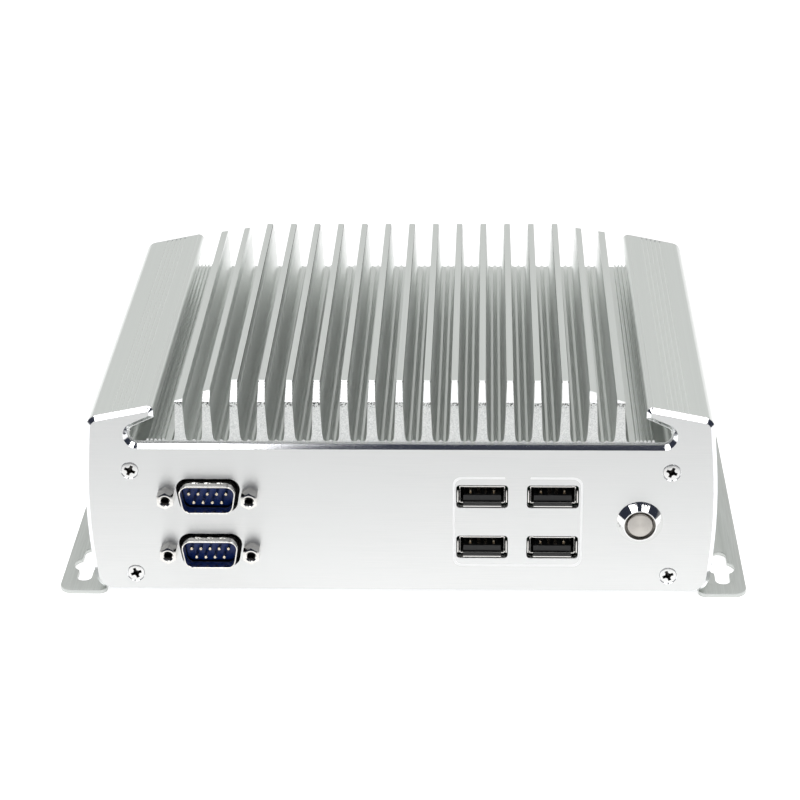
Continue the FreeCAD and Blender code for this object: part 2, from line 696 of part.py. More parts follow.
def storage_card():
    """Flash card with a controller and two memory chips."""
    plate = block((-66.0, -36.0), (62.0, 112.0), (BOARD_TOP + 4.2, BOARD_TOP + 5.2))
    chips = [block((x, x + width), (y, y + width), (BOARD_TOP + 5.2, BOARD_TOP + 5.2 + CHIP_T))
             for x, y, width in ((-62.0, 68.0, 12.0), (-49.0, 68.0, 10.0), (-62.0, 84.0, 14.0))]
    return join([plate] + chips)


def storage_socket():
    """Edge socket and the two posts that hold the card up."""
    socket = block((-66.5, -35.5), (55.0, 63.0), (BOARD_TOP, BOARD_TOP + 6.0))
    socket = socket.cut(block((-66.1, -35.9), (61.8, 64.0), (BOARD_TOP + 4.15, BOARD_TOP + 5.25)))
    posts = [post(x, 108.5, BOARD_TOP, BOARD_TOP + 4.2, 2.0) for x in (-59.0, -39.0)]
    return group([socket] + posts)


def cell_holder():
    """Round cup, cut open across its middle so that the cell can be lifted out."""
    x, y = CELL_XY
    cup = post(x, y, BOARD_TOP, BOARD_TOP + 4.2, CELL_R + 2)
    cup = cup.cut(post(x, y, CELL_FLOOR, FIN_TOP_Z, CELL_R + 0.05))
    return cup.cut(block((x - 13, x - 6), (y - 6, y + 6), (CELL_FLOOR, FIN_TOP_Z)))


def coin_cell():
    return post(*CELL_XY, CELL_FLOOR, CELL_FLOOR + 3.2, CELL_R)


# --- leads inside --------------------------------------------------------------------------------------
RIBBON_T = 0.9
LEAD_R = 0.6


def board_headers():
    """Pin headers that the inner leads plug into, on the mainboard's front edge."""
    return group([block(x, (36.0, 42.0), (BOARD_TOP, HEADER_TOP))
                  for x in ((-36.0, -20.0), (22.0, 47.0), (51.0, 57.0))])


def serial_ribbon():
    route = [(SERIAL_BOARD_Y + BOARD_T, 25.0), (24.0, 25.0), (39.0, 30.0), (39.0, HEADER_TOP)]
    return strip(route, RIBBON_T, -35.0, -21.0)


def usb_ribbon():
    route = [(USB_DEPTH + BOARD_T, 26.0), (25.0, 26.0), (39.0, 29.0), (39.0, HEADER_TOP)]
    return strip(route, RIBBON_T, 24.0, 45.0)


def button_leads():
    """Two leads from the switch tags to their header."""
    leads = []
    for tag_x, header_x in ((BUTTON_X - 2.5, 53.0), (BUTTON_X + 2.5, 55.0)):
        route = [Vector(tag_x, 22.0, BUTTON_Z), Vector(tag_x, 28.0, BUTTON_Z),
                 Vector(header_x, 39.0, BUTTON_Z + 4), Vector(header_x, 39.0, HEADER_TOP)]
        runs = [Part.makeCylinder(LEAD_R, (b - a).Length, a, b - a) for a, b in zip(route, route[1:])]
        balls = [Part.makeSphere(LEAD_R, point) for point in route[1:-1]]
        leads.append(join(runs + balls))
    return group(leads)


# --- rear panel and its connectors --------------------------------------------------------------------
# X below is counted in the frame; the connectors stand on the mainboard and look out of the rear.
DC_X = 62.0
DC_Z = BOARD_TOP + 5.5
VGA_X = 34.0
VGA_Z = BOARD_TOP + 6.4
HDMI_X = 9.0
HDMI_Z = BOARD_TOP + 3.3
LAN_XS = (-10.5, -28.0)
REAR_USB_X = -46.5
AUDIO_X = -63.5
AUDIO_ZS = (BOARD_TOP + 4.5, BOARD_TOP + 13.5)
ANTENNA_XS = (-45.0, 45.0)
ANTENNA_Z = 41.0
LAN_HALF = 8.0
LAN_H = 13.4
STACK_H = 15.6
STACK_Y = DEPTH - 17.0        # back of the two stacked sockets
ANTENNA_R = 3.1
NUT_T = 2.2


def rear_panel():
    panel = to_rear(panel_blank())
    past = (REAR_IN - 1, DEPTH + 1)
    span = past[1] - past[0]
    cuts = [rod(DC_X, DC_Z, *past, 4.2),
            prism(d_corners(VGA_X, VGA_Z, 9.8, 5.3, 3.2), in_front_view, past[0], span),
            prism(rectangle(HDMI_X, HDMI_Z, 8.2, 3.6, 0.8), in_front_view, past[0], span),
            prism(rectangle(REAR_USB_X, BOARD_TOP + STACK_H / 2, 7.3, STACK_H / 2 + 0.3, 0.5),
                  in_front_view, past[0], span)]
    cuts += [rod(VGA_X + side * JACK_OFFSET, VGA_Z, *past, JACK_CLEAR_R) for side in (-1, 1)]
    cuts += [prism(rectangle(x, BOARD_TOP + LAN_H / 2, LAN_HALF + 0.2, LAN_H / 2 + 0.3, 0.5),
                   in_front_view, past[0], span) for x in LAN_XS]
    cuts += [rod(AUDIO_X, z, *past, 3.3) for z in AUDIO_ZS]
    cuts += [rod(x, ANTENNA_Z, *past, ANTENNA_R + 0.1) for x in ANTENNA_XS]
    return panel.cut(cuts)


def dc_jack():
    """Power inlet: a moulded block with a round nose and a centre pin."""
    block_y = REAR_IN - 0.4
    body = block((DC_X - 4.5, DC_X + 4.5), (block_y - 12.0, block_y), (BOARD_TOP, BOARD_TOP + 11.0))
    nose = rod(DC_X, DC_Z, block_y - 0.1, DEPTH + 0.3, 4.0)
    shell = join([body, nose]).cut(rod(DC_X, DC_Z, DEPTH - 9.0, DEPTH + 1, 3.15))
    return join([shell, rod(DC_X, DC_Z, DEPTH - 9.5, DEPTH - 1.0, 1.0)])


def vga_shell():
    """Stamped shell of a 15-way socket and its flange."""
    flange = prism(rectangle(VGA_X, VGA_Z, FLANGE_HALF_W, FLANGE_HALF_H, 1.0), in_front_view,
                   REAR_IN - FLANGE_T, FLANGE_T)
    collar = prism(d_corners(VGA_X, VGA_Z, 8.3, 4.0, 2.4), in_front_view, REAR_IN - FLANGE_T, 6.2)
    hollow = prism(d_corners(VGA_X, VGA_Z, 7.9, 3.6, 2.0), in_front_view, REAR_IN - 2, 12)
    holes = [rod(VGA_X + side * JACK_OFFSET, VGA_Z, REAR_IN - 3, DEPTH, JACK_CLEAR_R) for side in (-1, 1)]
    return flange.fuse(collar).cut([hollow] + holes).removeSplitter()


def vga_insulator():
    """Blue core in the shell and the housing behind it."""
    core = prism(d_corners(VGA_X, VGA_Z, 7.85, 3.55, 1.95), in_front_view, REAR_IN - FLANGE_T, 6.0)
    back = block((VGA_X - 9.5, VGA_X + 9.5), (REAR_IN - 12.0, REAR_IN - FLANGE_T),
                 (BOARD_TOP, BOARD_TOP + 11.6))
    return join([core, back])


def vga_jackscrews():
    return group([to_rear(jackscrew(-VGA_X + side * JACK_OFFSET, VGA_Z)) for side in (-1, 1)])


def hdmi_ring(grow):
    """Corners of the socket's outline: its two lower corners are bevelled."""
    side = 7.1 + grow
    right = [(HDMI_X + 5.0 + grow, HDMI_Z - 2.6 - grow, 0), (HDMI_X + side, HDMI_Z - 0.8, 0),
             (HDMI_X + side, HDMI_Z + 2.4 + grow, 0)]
    left = [(2 * HDMI_X - x, z, radius) for x, z, radius in reversed(right)]
    return right + left


def hdmi_shell():
    outer = prism(hdmi_ring(0.4), in_front_view, REAR_IN - 10, 12.3)
    return outer.cut(prism(hdmi_ring(0.0), in_front_view, REAR_IN - 11, 14))


def hdmi_tongue():
    root = block((HDMI_X - 6.8, HDMI_X + 6.8), (REAR_IN - 10, REAR_IN - 8), (HDMI_Z - 0.7, HDMI_Z + 2.3))
    blade = block((HDMI_X - 5.8, HDMI_X + 5.8), (REAR_IN - 8.1, DEPTH - 1.0), (HDMI_Z + 0.1, HDMI_Z + 1.1))
    return join([root, blade])


def lan_jack(x):
    """Shielded network socket with its keyed mouth."""
    front = DEPTH + 0.2
    shield = block((x - LAN_HALF, x + LAN_HALF), (front - 16, front), (BOARD_TOP, BOARD_TOP + LAN_H))
    mouth = block((x - 5.9, x + 5.9), (front - 13, front + 1), (BOARD_TOP + 4.2, BOARD_TOP + 11.0))
    key = block((x - 3.1, x + 3.1), (front - 13, front + 1), (BOARD_TOP + 2.6, BOARD_TOP + 4.3))
    catch = block((x - 1.6, x + 1.6), (front - 13, front + 1), (BOARD_TOP + 1.2, BOARD_TOP + 2.7))
    return shield.cut([mouth, key, catch])


def lan_contacts():
    """Eight sloping spring wires in the roof of each network socket."""
    wires = []
    for x in LAN_XS:
        for step in range(8):
            middle = x + (step - 3.5) * 1.02
            slope = [(DEPTH - 12.8, BOARD_TOP + 8.6, 0), (DEPTH - 12.8, BOARD_TOP + 9.0, 0),
                     (DEPTH - 3.0, BOARD_TOP + 11.0, 0), (DEPTH - 3.0, BOARD_TOP + 10.6, 0)]
            wires.append(prism(slope, in_side_view, middle - 0.2, 0.4))
    return group(wires)


def rear_usb_levels():
    """Middles of the two stacked sockets."""
    return (BOARD_TOP + 4.0, BOARD_TOP + 11.6)


def rear_usb_shell():
    """Shell of two stacked sockets, one opening above the other."""
    outer = block((REAR_USB_X - USB_HALF_W, REAR_USB_X + USB_HALF_W), (STACK_Y, DEPTH + 0.3),
                  (BOARD_TOP, BOARD_TOP + STACK_H))
    inner_w = USB_HALF_W - USB_WALL
    inner_h = USB_HALF_H - USB_WALL
    return outer.cut([block((REAR_USB_X - inner_w, REAR_USB_X + inner_w), (STACK_Y + USB_WALL, DEPTH + 1),
                            (z - inner_h, z + inner_h)) for z in rear_usb_levels()])


def rear_usb_tongues():
    tongues = []
    for z in rear_usb_levels():
        root = block((REAR_USB_X - 6.5, REAR_USB_X + 6.5), (STACK_Y + USB_WALL, DEPTH - 10),
                     (z - 2.5, z + 2.5))
        blade = block((REAR_USB_X - 5.6, REAR_USB_X + 5.6), (DEPTH - 10.1, DEPTH - 1.4), (z + 0.35, z + 2.05))
        tongues.append(join([root, blade]))
    return group(tongues)


def audio_jacks():
    """Two round sockets, one above the other, in one moulding."""
    front = REAR_IN - 0.3
    body = block((AUDIO_X - 4.2, AUDIO_X + 4.2), (front - 13.0, front), (BOARD_TOP, BOARD_TOP + 18.0))
    noses = [rod(AUDIO_X, z, front - 0.1, DEPTH + 0.8, 3.1) for z in AUDIO_ZS]
    return join([body] + noses).cut([rod(AUDIO_X, z, DEPTH - 12.0, DEPTH + 2, 1.8) for z in AUDIO_ZS])


def antenna_sockets():
    """Two bulkhead sockets: a threaded barrel with a collar inside the panel."""
    sockets = []
    for x in ANTENNA_XS:
        collar = rod(x, ANTENNA_Z, REAR_IN - 2.0, REAR_IN, 4.0)
        barrel = rod(x, ANTENNA_Z, REAR_IN - 5.0, DEPTH + REAR_PROUD, ANTENNA_R)
        well = rod(x, ANTENNA_Z, DEPTH + 1.5, DEPTH + REAR_PROUD + 1, 2.3)
        core = rod(x, ANTENNA_Z, DEPTH + 1.0, DEPTH + REAR_PROUD - 1.5, 0.5)
        sockets.append(join([join([collar, barrel]).cut(well), core]))
    return group(sockets)


def antenna_nuts():
    """Hexagonal nuts that clamp the antenna sockets to the panel."""
    return group([hexagon(x, ANTENNA_Z, 4.6, DEPTH, NUT_T).cut(
        rod(x, ANTENNA_Z, DEPTH - 1, DEPTH + NUT_T + 1, ANTENNA_R + RUN_GAP)) for x in ANTENNA_XS])


# --- the whole object --------------------------------------------------------------------------------
def all_pieces():
    """Every node's name and shape."""
    panel_screw = countersunk(PANEL_SCREW_LENGTH)
    cover_screw = countersunk(COVER_SCREW_LENGTH)
    ear_screw = countersunk(EAR_SCREW_LENGTH)
    front_screws = group([placed(panel_screw, x, 0, z) for x, z in panel_screw_places()])
    ear = right_ear()
    pieces = {
        "finned_case": finned_case(),
        "front_panel": front_panel(),
        "rear_panel": rear_panel(),
        "bottom_cover": bottom_cover(),
        "right_ear": ear,
        "left_ear": mirror_x(ear),
        "front_panel_screws": front_screws,
        "rear_panel_screws": to_rear(front_screws),
        "cover_screws": group([placed(cover_screw, x, y, CASE_Z, upward=True) for x, y in COVER_SCREWS]),
        "ear_screws": group([placed(ear_screw, x, y, 0, upward=True) for x, y in EAR_SCREWS]),
        "serial_pins": serial_pins(),
        "serial_jackscrews": serial_jackscrews(),
        "serial_board": serial_board(),
        "usb_board": usb_board(),
        "front_usb_tongues": group([usb_tongue(x, z) for x, z in usb_places()]),
        "front_usb_contacts": usb_contacts(),
        "button_bezel": button_bezel(),
        "button_cap": button_cap(),
        "button_nut": button_nut(),
        "button_switch": button_switch(),
        "button_spring": button_spring(),
        "button_leads": button_leads(),
        "mainboard": mainboard(),
        "board_spacers": board_spacers(),
        "board_screws": board_screws(),
        "board_headers": board_headers(),
        "processor": processor(),
        "heat_block": heat_block(),
        "thermal_pads": thermal_pads(),
        "memory_socket": memory_socket(),
        "memory_module": memory_module(),
        "storage_socket": storage_socket(),
        "storage_card": storage_card(),
        "cell_holder": cell_holder(),
        "coin_cell": coin_cell(),
        "serial_ribbon": serial_ribbon(),
        "usb_ribbon": usb_ribbon(),
        "dc_jack": dc_jack(),
        "vga_shell": vga_shell(),
        "vga_insulator": vga_insulator(),
        "vga_jackscrews": vga_jackscrews(),
        "hdmi_shell": hdmi_shell(),
        "hdmi_tongue": hdmi_tongue(),
        "lan_contacts": lan_contacts(),
        "rear_usb_shell": rear_usb_shell(),
        "rear_usb_tongues": rear_usb_tongues(),
        "audio_jacks": audio_jacks(),
        "antenna_sockets": antenna_sockets(),
        "antenna_nuts": antenna_nuts(),
    }
    for level, z in SERIAL_ZS.items():
        pieces[level + "_serial_shell"] = serial_shell(z)
        pieces[level + "_serial_insulator"] = serial_insulator(z)
    for number, x in enumerate(LAN_XS, 1):
        pieces["lan_jack_%d" % number] = lan_jack(x)
    for number, (x, z) in enumerate(usb_places(), 1):
        pieces["front_usb_shell_%d" % number] = usb_shell(x, z)
    return pieces


def main():
    os.makedirs("parts", exist_ok=True)
    for name, shape in all_pieces().items():
        save(name, shape)


main()
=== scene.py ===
"""A fanless industrial computer: finned aluminium case, brushed end panels, sockets and ears."""
import json
import math

import bmesh
import bpy
from mathutils import Matrix, Vector


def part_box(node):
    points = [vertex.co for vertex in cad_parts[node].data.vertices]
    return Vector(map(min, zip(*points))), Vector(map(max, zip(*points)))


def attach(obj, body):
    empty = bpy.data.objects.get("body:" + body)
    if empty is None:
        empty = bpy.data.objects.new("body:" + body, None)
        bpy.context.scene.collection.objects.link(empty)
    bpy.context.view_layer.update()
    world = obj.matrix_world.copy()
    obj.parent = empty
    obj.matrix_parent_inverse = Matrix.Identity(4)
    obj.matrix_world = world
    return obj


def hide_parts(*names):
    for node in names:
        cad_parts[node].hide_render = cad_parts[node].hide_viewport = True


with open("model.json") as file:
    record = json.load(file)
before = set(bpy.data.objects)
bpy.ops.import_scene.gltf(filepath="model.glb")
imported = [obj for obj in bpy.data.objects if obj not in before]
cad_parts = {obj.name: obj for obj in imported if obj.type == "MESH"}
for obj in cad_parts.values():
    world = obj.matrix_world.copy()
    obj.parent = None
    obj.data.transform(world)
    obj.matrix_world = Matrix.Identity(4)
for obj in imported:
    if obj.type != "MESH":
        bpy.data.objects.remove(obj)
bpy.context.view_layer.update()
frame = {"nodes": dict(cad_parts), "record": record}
nodes = frame["nodes"]
MM = 0.001
FRONT_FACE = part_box("front_panel")[0][1]
REAR_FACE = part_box("rear_panel")[1][1]
CASE_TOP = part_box("finned_case")[1][2]

# The case's section, as it is drawn.
FIN_PITCH = 8.12 * MM
FIN_TIP_HALF = 0.98 * MM      # half thickness of a fin at its top
FIN_TAPER = 0.042             # growth of that half thickness per length down
FIN_BEVEL = 4.9 * MM          # 45 degree cut at both ends of every fin
TOOTH_START = 53.2 * MM       # height of the lowest rib on a fin's flank
RIB_PITCH = 0.685 * MM        # fine ribs along the flanks
RIB_DEPTH = 0.22 * MM
BURR_REACH = 1.9 * MM         # reach of the painted shade of a ragged burr on a fin's sawn end, below its bevel
RIM_HEIGHT = 1.1 * MM         # height of the painted shade along the top of a fin's flank
SLANT = 0.707                 # Y part of the normal of a chamfer at 45 degrees

# The plugs, the sockets and the button.
SHELL_RISE = 1.65 * MM        # from the top of a plug's shell to the top of its flange
GAP_DEPTH = 0.35 * MM         # depth behind a panel's face at which a plug's flange takes the full painted shade of its gap
JACK_INRADIUS = 2.4           # half the width across a jackscrew's flats, in millimetres
THREAD_PITCH = 0.5            # of every screw, in millimetres
GROOVE_R = 4.60 * MM          # round the button's cap
CAP_CENTRE = [(low + high) / 2 for low, high in zip(*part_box("button_cap"))]

# The white frame printed round the four sockets.
FRAME_LEFT = 1.3 * MM         # how far it stands off the sockets at each side
FRAME_RIGHT = 1.4 * MM
FRAME_BELOW = 3.0 * MM
FRAME_ABOVE = 2.95 * MM
FRAME_CORNER = 2.6 * MM
FRAME_GAP = 3.85 * MM         # half the opening in the middle of its top
FRAME_LINE = 0.5 * MM
INK_PROUD = 0.03 * MM         # in front of the panel
INK_DEPTH = 0.04 * MM         # its back lies in the panel, so that the two never share a face

# The studio.
LAMP_XS = {"left": -0.46, "right": 0.60}
LAMP_WIDTH = 0.70
LAMP_HEIGHT = 1.0
CAMERA_PLACE = (0.02533, -0.71640, 0.36213)
CAMERA_TURN = (-2.227, 24.775, -0.751)        # yaw, pitch and roll, in degrees
CAMERA_LENS = 109.08


# --- materials ---------------------------------------------------------------------------------------
def linear(code):
    """An sRGB hex colour as linear RGBA."""
    parts = [int(code[i:i + 2], 16) / 255 for i in (0, 2, 4)]
    return [c / 12.92 if c <= 0.04045 else ((c + 0.055) / 1.055) ** 2.4 for c in parts] + [1.0]


def add(tree, kind, sockets=None, **settings):
    """Add a shader node with its settings; a socket takes a value or another node's output."""
    made = tree.nodes.new("ShaderNode" + kind)
    for name, value in settings.items():
        setattr(made, name, value)
    for name, value in (sockets or {}).items():
        if isinstance(value, bpy.types.NodeSocket):
            tree.links.new(value, made.inputs[name])
        else:
            made.inputs[name].default_value = value
    return made


def blank(name):
    """A new material and its empty tree."""
    made = bpy.data.materials.new(name)
    made.use_nodes = True
    made.node_tree.nodes.clear()
    return made, made.node_tree


def marks(tree, size_mm, stretch=(1, 1, 1), detail=2.0):
    """Uneven marks of a size, longer along each axis by its stretch, running from 0 to 1."""
    place = add(tree, "TexCoord")
    scale = [1 / (size_mm * MM * longer) for longer in stretch]
    laid = add(tree, "Mapping", {"Vector": place.outputs["Object"], "Scale": scale})
    cloud = add(tree, "TexNoise", {"Vector": laid.outputs["Vector"], "Scale": 1.0, "Detail": detail,
                                   "Roughness": 0.6})
    spread = add(tree, "MapRange", {"Value": cloud.outputs["Fac"], "From Min": 0.3, "From Max": 0.7})
    return spread.outputs["Result"]


def finish(name, colours, gloss, pattern, relief_mm=0.004, metallic=1.0, shade=None, dark="1E1E1F",
           **sockets):
    """A material whose colour, gloss and relief follow one pattern of marks.

    Where shade is given, it is a function that returns, from 0 to 1, how much painted shade a place
    takes: there the colour goes towards dark and the gloss dulls.
    """
    made, tree = blank(name)
    height = marks(tree, *pattern)
    colour = add(tree, "Mix", {"Factor": height, "A": linear(colours[0]), "B": linear(colours[1])},
                 data_type="RGBA")
    rough = add(tree, "MapRange", {"Value": height, "To Min": gloss[0], "To Max": gloss[1]})
    relief = add(tree, "Bump", {"Height": height, "Distance": relief_mm * MM, "Strength": 0.5})
    # Painted shade: the colour goes towards dark, and the gloss dulls, as far as shade says.
    if shade:
        painted_shade_share = shade(tree)
        colour = add(tree, "Mix", {"Factor": painted_shade_share, "A": colour.outputs[2], "B": linear(dark)},
                     data_type="RGBA")
        rough = add(tree, "Mix", {"Factor": painted_shade_share, "A": rough.outputs["Result"], "B": 0.6})
    shader = add(tree, "BsdfPrincipled", {
        "Base Color": colour.outputs[2], "Roughness": rough.outputs[0], "Metallic": metallic,
        "Normal": relief.outputs["Normal"], **sockets})
    add(tree, "OutputMaterial", {"Surface": shader.outputs["BSDF"]})
    return made


def behind(plane, side):
    """Painted shade for what lies behind a panel's face: a plug's flange, darkened and dulled where the
    gap is in shade.
    """
    def shade(tree):
        place = add(tree, "TexCoord")
        parts = add(tree, "SeparateXYZ", {"Vector": place.outputs["Object"]})
        return add(tree, "MapRange", {"Value": parts.outputs["Y"], "From Min": plane,
                                      "From Max": plane - side * GAP_DEPTH}).outputs["Result"]
    return shade


def groove_painted_shade(tree):
    """Painted shade for the groove between the bezel and the cap, where its gloss is also duller."""
    place = add(tree, "TexCoord")
    centred = add(tree, "Mapping", {
        "Vector": place.outputs["Object"], "Location": (-CAP_CENTRE[0], 0, -CAP_CENTRE[2]),
        "Scale": (1, 0, 1)})
    radius = add(tree, "VectorMath", {0: centred.outputs["Vector"]}, operation="LENGTH")
    return add(tree, "MapRange", {"Value": radius.outputs["Value"], "From Min": GROOVE_R + 0.08 * MM,
                                  "From Max": GROOVE_R}).outputs["Result"]


def upward_painted_shade(tree):
    """Painted shade, with a duller gloss, for faces that lean upwards in a socket: its floor and lower
    lip.
    """
    place = add(tree, "TexCoord")
    normal = add(tree, "SeparateXYZ", {"Vector": place.outputs["Normal"]})
    spot = add(tree, "SeparateXYZ", {"Vector": place.outputs["Object"]})
    upwards = add(tree, "MapRange", {"Value": normal.outputs["Z"], "From Min": 0.15, "From Max": 0.35})
    inside = add(tree, "MapRange", {"Value": spot.outputs["Y"], "From Min": FRONT_FACE - 0.5 * MM,
                                    "From Max": FRONT_FACE - 0.2 * MM})
    return add(tree, "Math", {0: upwards.outputs[0], 1: inside.outputs[0]},
               operation="MULTIPLY").outputs[0]


def extruded_aluminium():
    """Aluminium extrusion, clear anodised: a satin grey skin with long faint lines from the die.

    Its sawn ends are paler and grainy, with the shade of a ragged burr painted below the bevels, and
    the cutter that took the fins' corners left them white. The fins' flanks carry painted light, a
    brighter colour than the skin, and a painted shade along their top edge.
    """
    made, tree = blank("clear_anodised_extruded_aluminium")
    die_lines = marks(tree, 0.35, (1, 400, 1))
    grains = marks(tree, 0.32, (1, 1, 1), 4.0)
    specks = marks(tree, 0.42, (1, 1, 1), 3.0)
    place = add(tree, "TexCoord")
    normal = add(tree, "SeparateXYZ", {"Vector": place.outputs["Normal"]})
    spot = add(tree, "SeparateXYZ", {"Vector": place.outputs["Object"]})
    height = spot.outputs["Z"]

    # Where each surface lies: along is 1 on the ends, about 0.7 on their bevels and 0 on the rest.
    along = add(tree, "Math", {0: normal.outputs["Y"]}, operation="ABSOLUTE").outputs[0]
    milled = add(tree, "MapRange", {"Value": along, "From Min": 0.50, "From Max": 0.65}).outputs[0]
    sawn = add(tree, "MapRange", {"Value": along, "From Min": 0.80, "From Max": 0.95}).outputs[0]
    sideways = add(tree, "Math", {0: normal.outputs["X"]}, operation="ABSOLUTE").outputs[0]
    flank = add(tree, "MapRange", {"Value": sideways, "From Min": 0.50, "From Max": 0.75}).outputs[0]
    # The top edge of each flank, where a painted shade runs.
    top = add(tree, "MapRange", {"Value": height, "From Min": CASE_TOP - RIM_HEIGHT,
                                 "From Max": CASE_TOP - RIM_HEIGHT + 0.15 * MM}).outputs[0]
    rim = add(tree, "Math", {0: top, 1: flank}, operation="MULTIPLY").outputs[0]

    # The burr's painted shade: dark specks that grow denser towards the foot of the bevel.
    foot = CASE_TOP - FIN_BEVEL
    bar = add(tree, "MapRange", {"Value": height, "From Min": foot - BURR_REACH, "To Min": 0.66,
                                 "From Max": foot - 0.1 * MM, "To Max": 0.42}).outputs[0]
    over = add(tree, "Math", {0: specks, 1: bar}, operation="SUBTRACT").outputs[0]
    torn = add(tree, "MapRange", {"Value": over, "From Max": 0.22}).outputs[0]
    near = add(tree, "MapRange", {"Value": height, "From Min": foot - BURR_REACH - 0.1 * MM,
                                  "From Max": foot - BURR_REACH + 0.6 * MM}).outputs[0]
    burr_painted_shade = add(tree, "Math", {0: torn, 1: near}, operation="MULTIPLY").outputs[0]

    skin = add(tree, "Mix", {"Factor": die_lines, "A": linear("DCDFDC"), "B": linear("E0E3E0")},
               data_type="RGBA").outputs[2]
    # Painted light on the flanks, a brighter colour, and painted shade along their top edge; the milled
    # bevels are bare bright metal.
    for share, code in ((flank, "F3F5F3"), (rim, "262A28"), (milled, "F4F5F4")):
        skin = add(tree, "Mix", {"Factor": share, "A": skin, "B": linear(code)},
                   data_type="RGBA").outputs[2]
    end = add(tree, "Mix", {"Factor": grains, "A": linear("CDD0CE"), "B": linear("FAFBF9")},
              data_type="RGBA").outputs[2]
    end = add(tree, "Mix", {"Factor": burr_painted_shade, "A": end, "B": linear("3A3C3B")},
              data_type="RGBA").outputs[2]
    colour = add(tree, "Mix", {"Factor": sawn, "A": skin, "B": end}, data_type="RGBA")

    satin = add(tree, "MapRange", {"Value": die_lines, "To Min": 0.32, "To Max": 0.38}).outputs[0]
    rough = add(tree, "Mix", {"Factor": milled, "A": satin, "B": 0.46})
    pattern = add(tree, "Mix", {"Factor": sawn, "A": die_lines, "B": grains})
    depth = add(tree, "MapRange", {"Value": sawn, "To Min": 0.06, "To Max": 0.5}).outputs[0]
    relief = add(tree, "Bump", {"Height": pattern.outputs[0], "Distance": 0.02 * MM, "Strength": depth})
    shader = add(tree, "BsdfPrincipled", {
        "Base Color": colour.outputs[2], "Metallic": 1.0, "Roughness": rough.outputs[0],
        "Normal": relief.outputs["Normal"]})
    add(tree, "OutputMaterial", {"Surface": shader.outputs["BSDF"]})
    return made


def brushed_plate():
    """Aluminium plate, brushed from left to right and clear anodised: pale, with hair lines.

    Real hairs are under a tenth of a millimetre wide: they are drawn at 0.16 mm so that they just show.
    The chamfer round the plate is cut with a diamond tool, and mirrors the room.
    """
    made, tree = blank("brushed_anodised_aluminium_plate")
    hairs = marks(tree, 0.16, (90, 1, 1))
    clouds = marks(tree, 9.0, (3, 1, 1))
    place = add(tree, "TexCoord")
    normal = add(tree, "SeparateXYZ", {"Vector": place.outputs["Normal"]})
    along = add(tree, "Math", {0: normal.outputs["Y"]}, operation="ABSOLUTE").outputs[0]
    away = add(tree, "Math", {0: along, 1: SLANT}, operation="SUBTRACT").outputs[0]
    gap = add(tree, "Math", {0: away}, operation="ABSOLUTE").outputs[0]
    polished = add(tree, "MapRange", {"Value": gap, "From Min": 0.12, "From Max": 0.22, "To Min": 1.0,
                                      "To Max": 0.0}).outputs[0]
    hair = add(tree, "Mix", {"Factor": hairs, "A": linear("E6E7E6"), "B": linear("ECECEB")},
               data_type="RGBA").outputs[2]
    brushed = add(tree, "Mix", {"Factor": clouds, "A": hair, "B": linear("E9EAE9")},
                  data_type="RGBA").outputs[2]
    colour = add(tree, "Mix", {"Factor": polished, "A": brushed, "B": linear("F4F5F7")},
                 data_type="RGBA")
    rough = add(tree, "Mix", {"Factor": polished, "A": 0.42, "B": 0.10})
    depth = add(tree, "MapRange", {"Value": polished, "To Min": 0.12, "To Max": 0.0}).outputs[0]
    relief = add(tree, "Bump", {"Height": hairs, "Distance": 0.004 * MM, "Strength": depth})
    across = add(tree, "Tangent", direction_type="RADIAL", axis="Z")
    shader = add(tree, "BsdfPrincipled", {
        "Base Color": colour.outputs[2], "Metallic": 1.0, "Roughness": rough.outputs[0],
        "Anisotropic": 0.6, "Anisotropic Rotation": 0.25, "Normal": relief.outputs["Normal"],
        "Tangent": across.outputs["Tangent"]})
    add(tree, "OutputMaterial", {"Surface": shader.outputs["BSDF"]})
    return made


def turned_cap_steel():
    """Stainless steel, faced on a lathe: warm satin grey, with soft fans of light from its rings."""
    made, tree = blank("lathe_faced_stainless_steel")
    place = add(tree, "TexCoord")
    centred = add(tree, "Mapping", {"Vector": place.outputs["Object"],
                                    "Location": (-CAP_CENTRE[0], 0, -CAP_CENTRE[2])})
    feed = 0.35 * MM              # between rings: the real feed is finer, and wouldn't show
    rings = add(tree, "TexWave", {"Vector": centred.outputs["Vector"], "Scale": math.pi / (10 * feed)},
                wave_type="RINGS", rings_direction="Y")
    around = add(tree, "VectorMath", {0: centred.outputs["Vector"], 1: (0, 1, 0)},
                 operation="CROSS_PRODUCT")
    grains = marks(tree, 0.15)
    colour = add(tree, "Mix", {"Factor": grains, "A": linear("BDB9B3"), "B": linear("C9C5BF")},
                 data_type="RGBA")
    relief = add(tree, "Bump", {"Height": rings.outputs["Fac"], "Distance": 0.003 * MM,
                                "Strength": 0.3})
    shader = add(tree, "BsdfPrincipled", {
        "Base Color": colour.outputs[2], "Metallic": 1.0, "Roughness": 0.40, "Anisotropic": 0.7,
        "Normal": relief.outputs["Normal"], "Tangent": around.outputs["Vector"]})
    add(tree, "OutputMaterial", {"Surface": shader.outputs["BSDF"]})
    return made


